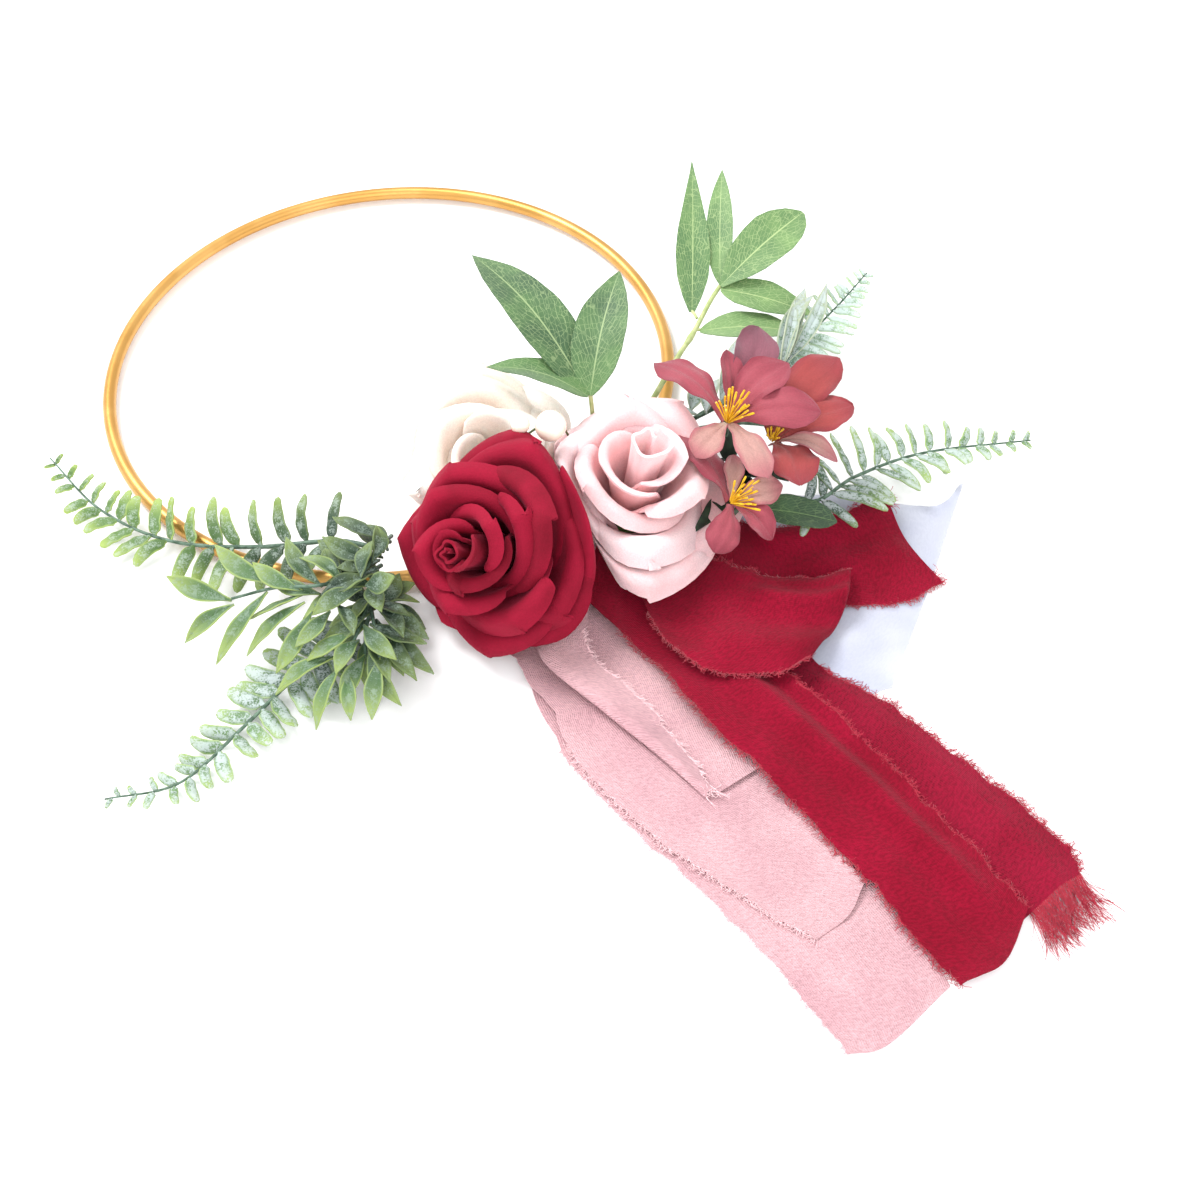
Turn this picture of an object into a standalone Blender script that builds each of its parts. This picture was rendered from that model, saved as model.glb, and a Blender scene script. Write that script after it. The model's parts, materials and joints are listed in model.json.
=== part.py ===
"""A harvest door wreath: a gold hoop that carries foam roses, blossoms, fronds, leaves, pearls and ribbons.

Metres, +Z up. The wreath lies on its back on the plane z = 0, its front facing +Z and its top towards +Y.
The flowers are bound to the lower right of the hoop, and their places are in millimetres from the point
of the hoop that carries them, so that they stay together on a hoop of any size.
"""

import math

import bmesh
import bpy
from mathutils import Matrix, Vector

MM = 0.001
GAP = 0.0003  # between pieces that touch
UP = Vector((0, 0, 1))

# Hoop
HOOP_OUTSIDE = 0.254
TUBE = 0.0058
HOOP_STEPS = 72
TUBE_SIDES = 12

# Binding: twisted stems on top of the tube, the tape round both, and the knot of the ribbons
BUNDLE = 0.0036
TAPE = 0.0005
TAPE_WIDTH = 0.010
KNOT_WRAP = 0.0010
KNOT_WIDTH = 0.012
CLUSTER_ANGLE = math.radians(-48)
KNOT_ANGLE = math.radians(-45)
LEFT_BUNDLE = (math.radians(-84), math.radians(-52))
RIGHT_BUNDLE = (math.radians(-38), math.radians(-28))
TAPE_LEFT_ANGLE = math.radians(-78)
TAPE_RIGHT_ANGLE = math.radians(-33)

# Roses: the diameter of each, and how thick a whorl of its foam petals is
BURGUNDY_ROSE = 0.092
PINK_ROSE = 0.077
IVORY_ROSE = 0.074
WHORL = 0.0016
ROSE_SEGMENTS = 24
ROSE_SQUASH_GAP = 0.0010  # between two roses that press against each other
ROSE_DEPTH = 0.52  # how far a rose's base lies behind its rim, in radii
CALYX_DEPTH = 0.006

# Pearls
LARGE_PEARL = 0.0124
SMALL_PEARL = 0.0078
PEARL_WIRE = 0.0010

# Leaves and stems
FABRIC = 0.0005
PLASTIC_LEAF = 0.0008
STEM = 0.0018

# Ribbons
RIBBON_WIDTH = 0.047
CLOTH = 0.00035
LAYER = CLOTH + 0.00035  # from one ribbon to the next above it, with a clearance between them
GATHERED = 0.016  # a ribbon's width where the knot gathers it


# ---------------------------------------------------------------- places

TUBE_RADIUS = TUBE / 2
HOOP_RADIUS = HOOP_OUTSIDE / 2 - TUBE_RADIUS
HOOP_Z = KNOT_WRAP + GAP + TUBE_RADIUS
BUNDLE_Z = HOOP_Z + TUBE_RADIUS + GAP + BUNDLE / 2
SLEEVE_BORE = TUBE_RADIUS + GAP
TAPE_TOP = BUNDLE_Z + SLEEVE_BORE + TAPE


def on_hoop(angle, radius=HOOP_RADIUS, z=0.0):
    return Vector((radius * math.cos(angle), radius * math.sin(angle), z))


ANCHOR = on_hoop(CLUSTER_ANGLE)


def at(x, y, z):
    """A place in the cluster: millimetres from the hoop's point that carries it, and above the table."""
    return ANCHOR + Vector((x, y, z)) * MM


class Rose:
    """A rose's centre, the way it faces, and its radius."""

    def __init__(self, name, centre, axis, diameter):
        self.name = name
        self.centre = centre
        self.axis = Vector(axis).normalized()
        self.radius = diameter / 2

    def matrix(self):
        turn = UP.rotation_difference(self.axis).to_matrix().to_4x4()
        return Matrix.Translation(self.centre) @ turn


BURGUNDY = Rose("rose_burgundy", at(-30, -49, 42), (-0.42, -0.55, 0.72), BURGUNDY_ROSE)
PINK = Rose("rose_pink", at(22, -20, 37), (0.16, -0.14, 0.97), PINK_ROSE)
IVORY = Rose("rose_ivory", at(-40, 6, 35), (-0.12, 0.16, 0.98), IVORY_ROSE)


def clear_left(x, y, z):
    """A place left of the burgundy rose, in millimetres from its rim."""
    rim = BURGUNDY.centre.x - BURGUNDY.radius
    return Vector((rim + x * MM, ANCHOR.y + y * MM, z * MM))


def clear_right(x, y, z):
    """A place right of the pink rose, in millimetres from its rim."""
    rim = PINK.centre.x + PINK.radius
    return Vector((rim + x * MM, ANCHOR.y + y * MM, z * MM))


# ---------------------------------------------------------------- materials

def principled(name, colour, roughness, metallic=0.0):
    material = bpy.data.materials.new(name)
    material.use_nodes = True
    shader = material.node_tree.nodes["Principled BSDF"]
    shader.inputs["Base Color"].default_value = (*colour, 1)
    shader.inputs["Roughness"].default_value = roughness
    shader.inputs["Metallic"].default_value = metallic
    material.diffuse_color = (*colour, 1)
    return material


COLOURS = {
    "gold": ((0.75, 0.42, 0.11), 0.30, 1.0),
    "stem_green": ((0.30, 0.42, 0.16), 0.6, 0.0),
    "tape_green": ((0.10, 0.17, 0.07), 0.8, 0.0),
    "foam_burgundy": ((0.36, 0.02, 0.05), 0.8, 0.0),
    "foam_pink": ((0.90, 0.63, 0.66), 0.8, 0.0),
    "foam_ivory": ((0.93, 0.85, 0.75), 0.8, 0.0),
    "calyx_green": ((0.16, 0.29, 0.10), 0.6, 0.0),
    "blossom_fabric": ((0.55, 0.16, 0.18), 0.7, 0.0),
    "stamen_yellow": ((0.85, 0.62, 0.10), 0.6, 0.0),
    "pearl": ((0.93, 0.87, 0.78), 0.2, 0.0),
    "wire": ((0.30, 0.35, 0.20), 0.5, 0.0),
    "leaf_fabric": ((0.16, 0.33, 0.12), 0.7, 0.0),
    "frosted_plastic": ((0.33, 0.47, 0.36), 0.6, 0.0),
    "ribbon_burgundy": ((0.32, 0.01, 0.04), 0.8, 0.0),
    "ribbon_pink": ((0.80, 0.46, 0.50), 0.8, 0.0),
    "ribbon_white": ((0.86, 0.86, 0.90), 0.6, 0.0),
}


def coloured(slot, name):
    """Each sub-part has a material of its own, in its slot's colour."""
    colour, roughness, metallic = COLOURS[slot]
    return principled(f"{slot}_{name}", colour, roughness, metallic)


# ---------------------------------------------------------------- making meshes

def make(name, bm, slot, origin=None, matrix=None):
    """The object of a mesh. Its origin is the joint or centre that the piece is placed by."""
    origin = origin or Vector((0, 0, 0))
    bmesh.ops.recalc_face_normals(bm, faces=bm.faces)
    if matrix is None:
        bmesh.ops.translate(bm, verts=bm.verts, vec=-origin)
        matrix = Matrix.Translation(origin)
    mesh = bpy.data.meshes.new(name)
    bm.to_mesh(mesh)
    bm.free()
    mesh.materials.append(coloured(slot, name))
    mesh.shade_smooth()
    mesh.set_sharp_from_angle(angle=math.radians(50))
    thing = bpy.data.objects.new(name, mesh)
    thing.matrix_world = matrix
    bpy.context.collection.objects.link(thing)
    return thing


def thicken(thing, thickness):
    modifier = thing.modifiers.new("thickness", "SOLIDIFY")
    modifier.thickness = thickness
    modifier.offset = 0.0
    return thing


def cut_behind(bm, point, normal):
    """Cuts away what lies beyond a plane, and closes the cut."""
    found = bmesh.ops.bisect_plane(
        bm,
        geom=bm.verts[:] + bm.edges[:] + bm.faces[:],
        plane_co=point,
        plane_no=normal,
        clear_outer=True,
    )
    edges = [item for item in found["geom_cut"] if isinstance(item, bmesh.types.BMEdge)]
    if edges:
        bmesh.ops.triangle_fill(bm, edges=edges, use_beauty=True)


def smooth_path(points, steps):
    """Points at even distances along a smooth curve through the given ones."""
    ends = [2 * points[0] - points[1], *points, 2 * points[-1] - points[-2]]
    fine = []
    for before, a, b, after in zip(ends, ends[1:], ends[2:], ends[3:]):
        for i in range(8):
            t = i / 8
            fine.append(
                0.5
                * (
                    2 * a
                    + (b - before) * t
                    + (2 * before - 5 * a + 4 * b - after) * t**2
                    + (3 * a - before - 3 * b + after) * t**3
                )
            )
    fine.append(points[-1])
    lengths = [0.0]
    for a, b in zip(fine, fine[1:]):
        lengths.append(lengths[-1] + (b - a).length)
    return [along(fine, lengths, lengths[-1] * i / steps) for i in range(steps + 1)]


def along(points, lengths, distance):
    for i in range(1, len(points)):
        if lengths[i] >= distance or i == len(points) - 1:
            part = (distance - lengths[i - 1]) / (lengths[i] - lengths[i - 1])
            return points[i - 1].lerp(points[i], min(max(part, 0.0), 1.0))
    return points[-1]


def tube(name, points, diameter, slot, origin=None, sides=6):
    """A round wire along a path, closed at both ends."""
    bm = bmesh.new()
    rings = []
    across = UP.cross(points[1] - points[0])
    if across.length < 1e-6:
        across = Vector((1, 0, 0))
    for i, point in enumerate(points):
        tangent = (points[min(i + 1, len(points) - 1)] - points[max(i - 1, 0)]).normalized()
        across = (across - across.dot(tangent) * tangent).normalized()
        other = tangent.cross(across)
        rings.append(
            [
                bm.verts.new(
                    point
                    + (across * math.cos(turn) + other * math.sin(turn)) * diameter / 2
                )
                for turn in (2 * math.pi * k / sides for k in range(sides))
            ]
        )
    bridge(bm, rings)
    bm.faces.new(rings[0])
    bm.faces.new(rings[-1])
    return make(name, bm, slot, origin)


def bridge(bm, rings):
    for a, b in zip(rings, rings[1:]):
        for k in range(len(a)):
            n = (k + 1) % len(a)
            bm.faces.new((a[k], a[n], b[n], b[k]))


def turned(bm, profile, segments, lobed=None):
    """A closed solid turned about Z from a profile of (radius, height) that starts and ends on the axis."""
    rings = []
    for radius, height in profile[1:-1]:
        ring = []
        for k in range(segments):
            turn = 2 * math.pi * k / segments
            r, z = lobed(radius, height, turn) if lobed else (radius, height)
            ring.append(bm.verts.new((r * math.cos(turn), r * math.sin(turn), z)))
        rings.append(ring)
    bridge(bm, rings)
    for (_, height), ring in ((profile[0], rings[0]), (profile[-1], rings[-1])):
        pole = bm.verts.new((0, 0, height))
        for k in range(segments):
            bm.faces.new((pole, ring[k], ring[(k + 1) % segments]))


# ---------------------------------------------------------------- hoop and binding

def hoop():
    bm = bmesh.new()
    rings = []
    for i in range(HOOP_STEPS):
        turn = 2 * math.pi * (i + 0.5) / HOOP_STEPS
        ring = []
        for k in range(TUBE_SIDES):
            side = 2 * math.pi * (k + 0.5) / TUBE_SIDES
            flat = TUBE_RADIUS / math.cos(math.pi / TUBE_SIDES)
            radius = HOOP_RADIUS + flat * math.cos(side)
            ring.append(bm.verts.new(on_hoop(turn, radius, HOOP_Z + flat * math.sin(side))))
        rings.append(ring)
    bridge(bm, [*rings, rings[0]])
    return make("hoop_ring", bm, "gold")


def bundle(name, angles, slot):
    steps = 6
    start, end = angles
    points = [on_hoop(start + (end - start) * i / steps, z=BUNDLE_Z) for i in range(steps + 1)]
    return tube(name, points, BUNDLE, slot, sides=6)


def sleeve(name, angle, width, wall, slot):
    """A band round the tube and the bundle of stems, with an oblong section."""
    clear = SLEEVE_BORE / math.cos(math.pi / TUBE_SIDES)
    half = width / 2 / HOOP_RADIUS
    section = []
    for k in range(TUBE_SIDES):
        side = 2 * math.pi * (k + 0.5) / TUBE_SIDES
        centre = BUNDLE_Z if math.sin(side) > 0 else HOOP_Z
        section.append((math.cos(side), math.sin(side), centre))
    bm = bmesh.new()
    loops = []
    for turn in (angle - half, angle, angle + half):
        for_inner = [on_hoop(turn, HOOP_RADIUS + clear * c, z + clear * s) for c, s, z in section]
        reach = clear + wall
        for_outer = [on_hoop(turn, HOOP_RADIUS + reach * c, z + reach * s) for c, s, z in section]
        loops.append(([bm.verts.new(p) for p in for_inner], [bm.verts.new(p) for p in for_outer]))
    bridge(bm, [inner for inner, _ in loops])
    bridge(bm, [outer for _, outer in loops])
    bridge(bm, loops[0])
    bridge(bm, loops[-1])
    return make(name, bm, slot)


def binding():
    bundle("stem_bundle_left", LEFT_BUNDLE, "stem_green")
    bundle("stem_bundle_right", RIGHT_BUNDLE, "stem_green")
    sleeve("tape_wrap_left", TAPE_LEFT_ANGLE, TAPE_WIDTH, TAPE, "tape_green")
    sleeve("tape_wrap_right", TAPE_RIGHT_ANGLE, TAPE_WIDTH, TAPE, "tape_green")
    sleeve("ribbon_knot", KNOT_ANGLE, KNOT_WIDTH, KNOT_WRAP, "ribbon_burgundy")


# ---------------------------------------------------------------- roses

def squash_plane(rose, other):
    """The plane where a rose meets its neighbour: they press flat against each other.

    It lies along the flank of the rose that leans over the other one, or halfway when both face up.
    """
    towards = other.centre - rose.centre
    leaning = max(0.0, -towards.dot(rose.axis) / towards.length)
    normal = (towards.normalized() - rose.axis * leaning).normalized()
    reach = rose.radius / (rose.radius + other.radius)
    return rose.centre + normal * towards.dot(normal) * reach, normal


SQUASHED = [(BURGUNDY, PINK), (BURGUNDY, IVORY), (PINK, IVORY)]


def squash(bm, rose):
    """Cuts a rose's piece, in the rose's own frame, where its neighbours press on it."""
    inverse = rose.matrix().inverted()
    for first, second in SQUASHED:
        if rose not in (first, second):
            continue
        point, normal = squash_plane(first, second)
        if rose is second:
            normal = -normal
        point = point - normal * ROSE_SQUASH_GAP / 2
        cut_behind(bm, inverse @ point, inverse.to_3x3() @ normal)


def cup_profile(base, rim_radius, rim_height, roll):
    """The outside of a whorl, from the axis at its base out to a rim that rolls over."""
    steps = 6
    floor = 0.18  # the flat middle's share of the radius
    edge = 0.8  # where the rim starts to roll over
    points = [(0.0, base), (rim_radius * floor, base + 0.0004)]
    for i in range(1, steps + 1):
        t = i / steps
        radius = rim_radius * (floor + (1 - floor) * t**0.85)
        height = base + (rim_height - base) * t**1.15 - roll * max(0.0, t - edge) / (1 - edge)
        points.append((radius, height))
    return points


def whorl(rose, layer, base, rim_radius, rim_height, roll, lobes, turn):
    """One ring of petals as a lobed cup, open towards the rose's face."""
    outside = cup_profile(base, rim_radius, rim_height, roll)
    notch = 0.10  # how far the rim steps back between two petals
    wave_height = 0.0015
    inside = [(max(r - WHORL * 0.35, 0.0), z + WHORL) for r, z in outside]
    inside[0] = (0.0, base + WHORL)

    def lobed(radius, height, angle):
        share = radius / rim_radius
        wave = abs(math.cos(lobes * (angle - turn) / 2))
        return radius * (1 - notch * share**2 * (1 - wave)), height + wave_height * share**2 * wave

    bm = bmesh.new()
    turned(bm, [*outside, *reversed(inside)], ROSE_SEGMENTS, lobed)
    squash(bm, rose)
    return make(f"{rose.name}_{layer}", bm, "foam_" + rose.name.split("_")[1], matrix=rose.matrix())


def heart(rose, base, radius, height):
    """The rolled bud in the middle."""
    bm = bmesh.new()
    profile = [(0, base), (radius * 0.30, base), (radius, base + height * 0.45)]
    profile += [(radius * 0.95, base + height * 0.8), (radius * 0.62, base + height)]
    profile += [(0, base + height * 0.9)]
    turned(bm, profile, 12)
    return make(f"{rose.name}_heart", bm, "foam_" + rose.name.split("_")[1], matrix=rose.matrix())


def calyx(rose, top, radius, depth):
    """The green cup under the petals, which the stem wire is moulded into."""
    bm = bmesh.new()
    profile = [(0, top - depth), (STEM / 2, top - depth), (STEM / 2, top - depth * 0.55)]
    profile += [(radius * 0.55, top - depth * 0.4), (radius, top), (0, top)]
    turned(bm, profile, 10)
    squash(bm, rose)
    return make(f"{rose.name}_calyx", bm, "calyx_green", matrix=rose.matrix())


def rose_wire(rose, low, foot):
    """The wire from the calyx down to the bound stems."""
    top = rose.centre + rose.axis * (low - STEM * 0.7)
    bend = top.lerp(foot, 0.3) - rose.axis * STEM
    tube(f"{rose.name}_wire", [top, bend, foot], STEM, "wire")


def rose(rose, foot):
    depth = rose.radius * ROSE_DEPTH
    step = WHORL + 3 * GAP
    base = -depth
    whorl(rose, "outer_petals", base, rose.radius, 0.06 * rose.radius, 0.0018, 5, 0.0)
    whorl(rose, "middle_petals", base + step, rose.radius * 0.80, 0.30 * rose.radius, 0.0012, 5, 0.6)
    whorl(rose, "inner_petals", base + 2 * step, rose.radius * 0.52, 0.44 * rose.radius, 0.0004, 4, 0.3)
    heart(rose, base + 3 * step, rose.radius * 0.23, rose.radius * 0.88)
    calyx(rose, base - GAP, rose.radius * 0.17, CALYX_DEPTH)
    rose_wire(rose, base - GAP - CALYX_DEPTH, foot)


def roses():
    over = BUNDLE_Z + SLEEVE_BORE + KNOT_WRAP + STEM
    rose(BURGUNDY, at(-33, -18, 0) + UP * over)
    rose(PINK, at(9, 9, 0) + UP * over)
    rose(IVORY, at(-30, -15, 0) + UP * over)


# ---------------------------------------------------------------- pearls

def ball(name, centre, diameter, slot, origin):
    bm = bmesh.new()
    place = Matrix.Translation(centre)
    bmesh.ops.create_uvsphere(bm, u_segments=14, v_segments=9, radius=diameter / 2, matrix=place)
    return make(name, bm, slot, origin)


def pearls():
    large = at(-10, -5, 60)
    small = at(-21, -7, 58)
    foot = at(0, 5, 0) + UP * (TAPE_TOP + GAP)
    ball("pearl_large", large, LARGE_PEARL, "pearl", foot)
    ball("pearl_small", small, SMALL_PEARL, "pearl", foot)
    top = large + Vector((2, 8, 2)).normalized() * (LARGE_PEARL / 2 + PEARL_WIRE)
    points = smooth_path([foot, at(-1, 19, 30), at(-5, 17, 52), top], 10)
    tube("pearl_wire", points, PEARL_WIRE, "wire", origin=foot, sides=6)


# ---------------------------------------------------------------- leaves and fronds

def blade(name, base, tip, width, slot, thickness, origin, arch=0.0, roll=0.0, neck=0.0008):
    """A leaf with a pointed oval outline, folded a little along its midrib."""
    steps = 6
    axis = tip - base
    side = (UP.cross(axis)).normalized()
    side = Matrix.Rotation(roll, 3, axis.normalized()) @ side
    normal = axis.cross(side).normalized()
    bm = bmesh.new()
    rows = []
    for i in range(steps):
        t = i / steps
        half = neck + (width / 2 - neck) * math.sin(math.pi * t**0.8) ** 0.9
        middle = base + axis * t + normal * arch * math.sin(math.pi * t)
        fold = normal * half * 0.22
        rows.append([bm.verts.new(middle + side * half * k + fold * abs(k)) for k in (-1, 0, 1)])
    for a, b in zip(rows, rows[1:]):
        bm.faces.new((a[0], a[1], b[1], b[0]))
        bm.faces.new((a[1], a[2], b[2], b[1]))
    end = bm.verts.new(tip)
    bm.faces.new((rows[-1][0], rows[-1][1], end))
    bm.faces.new((rows[-1][1], rows[-1][2], end))
    return thicken(make(name, bm, slot, origin), thickness)


def frond(name, path, leaflets, slot, thickness, rachis, shape, origin=None):
    """A moulded stem with leaflets on its two sides, in one sheet that is then thickened.

    Each leaflet is (station, side, tip, width), and shape lists (part of the length, part of the width).
    """
    taper = 0.55
    last = len(path) - 1
    bm = bmesh.new()
    rows = []
    for i, point in enumerate(path[:-1]):
        tangent = (path[i + 1] - path[max(i - 1, 0)]).normalized()
        side = UP.cross(tangent).normalized()
        half = rachis / 2 * (1 - taper * i / last)
        rows.append((bm.verts.new(point + side * half), bm.verts.new(point - side * half), tangent))
    for a, b in zip(rows, rows[1:]):
        bm.faces.new((a[1], b[1], b[0], a[0]))
    end = bm.verts.new(path[-1])
    bm.faces.new((rows[-1][1], end, rows[-1][0]))
    for station, side, tip, width in leaflets:
        edge = 0 if side > 0 else 1
        near, far = rows[station][edge], rows[station + 1][edge]
        grow(bm, near, far, tip, width, rows[station][2], shape)
    return thicken(make(name, bm, slot, origin or path[0]), thickness)


def grow(bm, near, far, tip, width, tangent, shape):
    """A leaflet from one edge of a stem out to its tip."""
    root = (near.co + far.co) / 2
    reach = tip - root
    across = (tangent - tangent.dot(reach.normalized()) * reach.normalized()).normalized()
    previous = (near, far)
    for part, wide in shape:
        middle = root + reach * part
        row = (
            bm.verts.new(middle - across * width / 2 * wide),
            bm.verts.new(middle + across * width / 2 * wide),
        )
        bm.faces.new((previous[0], row[0], row[1], previous[1]))
        previous = row
    bm.faces.new((previous[0], bm.verts.new(tip), previous[1]))


# Outlines from the stem to the tip: (part of the length, part of the width)
FERN_LEAFLET = ((0.45, 1.0),)
SPRAY_LEAF = ((0.28, 0.85), (0.62, 0.80))
PETAL = ((0.45, 0.85), (0.78, 0.92))


def fern(name, points, pairs, bare, longest, shape):
    """A fern frond: leaflets in pairs that shorten towards the tip by the given rule."""
    bare_steps = 2
    path = smooth_path(points, 40)
    lengths = [0.0]
    for a, b in zip(path, path[1:]):
        lengths.append(lengths[-1] + (b - a).length)
    total = lengths[-1]
    stops = [total * bare * i / bare_steps for i in range(bare_steps)]
    spacing = total * (1 - bare) / pairs
    neck = min(0.0022, spacing * 0.4)
    leaflets = []
    for k in range(pairs):
        start = total * bare + spacing * k
        leaflets.append((len(stops), k / pairs))
        stops += [start, start + neck]
    stops.append(total)
    stations = [along(path, lengths, stop) for stop in stops]
    specs = []
    for station, part in leaflets:
        here, after = stations[station], stations[station + 1]
        tangent = (after - here).normalized()
        side = UP.cross(tangent).normalized()
        for hand in (1, -1):
            length = longest * shape(part, hand)
            lean = math.radians(12 + 18 * part)
            tip = (here + after) / 2 + (side * hand * math.cos(lean) + tangent * math.sin(lean)) * length
            specs.append((station, hand, tip - UP * length * 0.04, min(0.0038, spacing * 0.62)))
    return frond(name, stations, specs, "frosted_plastic", PLASTIC_LEAF, STEM, FERN_LEAFLET)


def tapering(part, hand):
    return max(0.16, (1 - part) ** 0.75 * min(1.0, 0.72 + 2.2 * part))


def ferns():
    left_upper = [clear_left(-3, -28, 17), clear_left(-23, -19, 14), clear_left(-56, -18, 11)]
    left_upper += [clear_left(-92, -12, 10), clear_left(-124, 9, 8), clear_left(-150, 41, 7)]
    fern("fern_left_upper", left_upper, 20, 0.16, 0.0235, tapering)
    left_lower = [clear_left(-4, -38, 9), clear_left(-13, -60, 10.5), clear_left(-37, -86, 9)]
    left_lower += [clear_left(-55, -106, 6), clear_left(-76, -129, 5), clear_left(-103, -135, 5)]
    fern("fern_left_lower", left_lower, 18, 0.26, 0.0230, tapering)
    right = [clear_right(-18, 24, 11), clear_right(10, -2, 15), clear_right(34, -10, 17)]
    right += [clear_right(54, 7, 13), clear_right(85, 23, 9), clear_right(131, 29, 8)]
    fern("fern_right", right, 17, 0.42, 0.0285, tapering)
    top = [clear_right(-18, 38, 14), clear_right(12, 58, 18), clear_right(32, 74, 21)]
    top += [clear_right(56, 104, 20), clear_right(72, 126, 20)]
    fern("fern_top", top, 11, 0.46, 0.0150, tapering)


def spray(name, points, steps, leaves, origin=None):
    """A stem with pointed oval leaves: (station, side, tip, width)."""
    path = smooth_path(points, steps)
    frond(name, path, leaves, "frosted_plastic", PLASTIC_LEAF, STEM, SPRAY_LEAF, origin)


def sprays():
    left = clear_left
    long_leaves = [
        (3, -1, left(-26, -33, 38), 0.010),
        (5, -1, left(-40, -37, 35), 0.010),
        (8, -1, left(-53, -45, 31), 0.009),
        (10, -1, left(-69, -34, 30), 0.010),
        (7, 1, left(-53, -74, 22), 0.009),
        (9, 1, left(-66, -78, 18), 0.010),
        (11, 1, left(-80, -71, 19), 0.010),
    ]
    foot = left(-4, -34, 15)
    points = [foot, left(-9, -46, 24), left(-25, -57, 31), left(-43, -55, 27)]
    spray("leaf_spray_left", [*points, left(-63, -58, 25), left(-87, -47, 27)], 15, long_leaves)
    high_leaves = [
        (3, 1, left(-21, -50, 39), 0.009),
        (4, -1, left(-12, -17, 36), 0.009),
        (5, 1, left(-29, -41, 41), 0.010),
    ]
    points = [left(0, -22, 19), left(-7, -26, 30), left(-16, -31, 36), left(-25, -23, 38)]
    spray("leaf_spray_high", points, 8, high_leaves, foot)
    low_leaves = [
        (3, -1, left(-24, -72, 24), 0.009),
        (4, 1, left(2, -86, 14), 0.010),
        (5, -1, left(-42, -93, 18), 0.010),
        (6, 1, left(-6, -104, 13), 0.009),
        (7, -1, left(-30, -104, 15), 0.010),
    ]
    points = [left(-3, -41, 12), left(-7, -56, 20), left(-10, -74, 21), left(-17, -101, 14)]
    spray("leaf_spray_low", points, 9, low_leaves)
    right = clear_right
    frosted = [
        (3, 1, right(-8, 52, 22), 0.007),
        (6, 1, right(21, 68, 44), 0.009),
    ]
    points = [right(-24, 36, 13), right(-4, 36, 26), right(18, 34, 43), right(28, 36, 46)]
    spray("leaf_spray_right", [*points, right(38, 80, 48)], 11, frosted)


def star(name, centre, axis, hub, petals, slot, thickness, origin, shape):
    """Leaves or petals, each (tip, width), that grow from the edges of a small hub which faces the axis."""
    bm = bmesh.new()
    level = axis.orthogonal().normalized()
    other = axis.cross(level)

    def turn(petal):
        end = petal[0] - centre
        return math.atan2(end.dot(other), end.dot(level))

    edges = []
    for tip, width in sorted(petals, key=turn):
        end = tip - centre
        out = (end - end.dot(axis) * axis).normalized()
        across = axis.cross(out)
        pair = [bm.verts.new(centre + (out + across * k * 0.35) * hub) for k in (-1, 1)]
        edges.append((pair, tip, width, across))
    bm.faces.new([vert for pair, _, _, _ in edges for vert in pair])
    for (near, far), tip, width, across in edges:
        grow(bm, near, far, tip, width, across, shape)
    return thicken(make(name, bm, slot, origin), thickness)


def green_leaves():
    base = at(6, 28, 45)
    trio = [(at(20, 75, 66), 0.018), (at(-41, 96, 62), 0.018), (at(-33, 36, 56), 0.015)]
    root = at(7, 16, 0) + UP * (TAPE_TOP + 0.001)
    stalk = (root, STEM)
    star("leaf_trio", base, UP, 0.0022, [*trio, stalk], "leaf_fabric", FABRIC, root, SPRAY_LEAF)
    foot = at(27, 37, 14)
    stem = [foot, at(30, 42, 22), at(43, 63, 30), at(51, 75, 34), at(59, 90, 38), at(63, 96, 40)]
    tube("spray_upper_stem", smooth_path(stem, 12), STEM, "stem_green", origin=foot)
    leaves = [
        (at(50, 86, 35), at(55, 156, 60), 0.0125),
        (at(64, 102, 41), at(68, 148, 61), 0.0090),
        (at(68, 101, 41), at(100, 127, 54), 0.0180),
        (at(67, 95, 38), at(101, 88, 39), 0.0140),
        (at(58, 73, 32), at(98, 73, 32), 0.0160),
    ]
    for i, (start, tip, width) in enumerate(leaves, 1):
        blade(f"spray_upper_leaf_{i}", start, tip, width, "leaf_fabric", FABRIC, foot, arch=0.002)
    start = clear_right(3, -22, 24)
    blade("serrated_leaf", start, clear_right(42, -26, 21), 0.010, "leaf_fabric", FABRIC, start)


# ---------------------------------------------------------------- blossoms

def blossom(name, centre, axis, petals, stamen, foot, bend):
    """Fabric petals round a tuft of stamens, on a stem."""
    axis = Vector(axis).normalized()
    star(f"{name}_petals", centre, axis, 0.0045, petals, "blossom_fabric", FABRIC, centre, PETAL)
    turn = UP.rotation_difference(axis).to_matrix().to_4x4()
    bm = bmesh.new()
    low = FABRIC / 2 + GAP * 2
    turned(bm, [(0, low), (0.0018, low), (0.0030, stamen), (0, stamen * 0.9)], 8)
    make(f"{name}_stamens", bm, "stamen_yellow", matrix=Matrix.Translation(centre) @ turn)
    top = centre - axis * (FABRIC / 2 + GAP * 3)
    points = smooth_path([top, top - axis * 0.006, bend, foot], 8)
    tube(f"{name}_stem", points, STEM, "stem_green")


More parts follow.
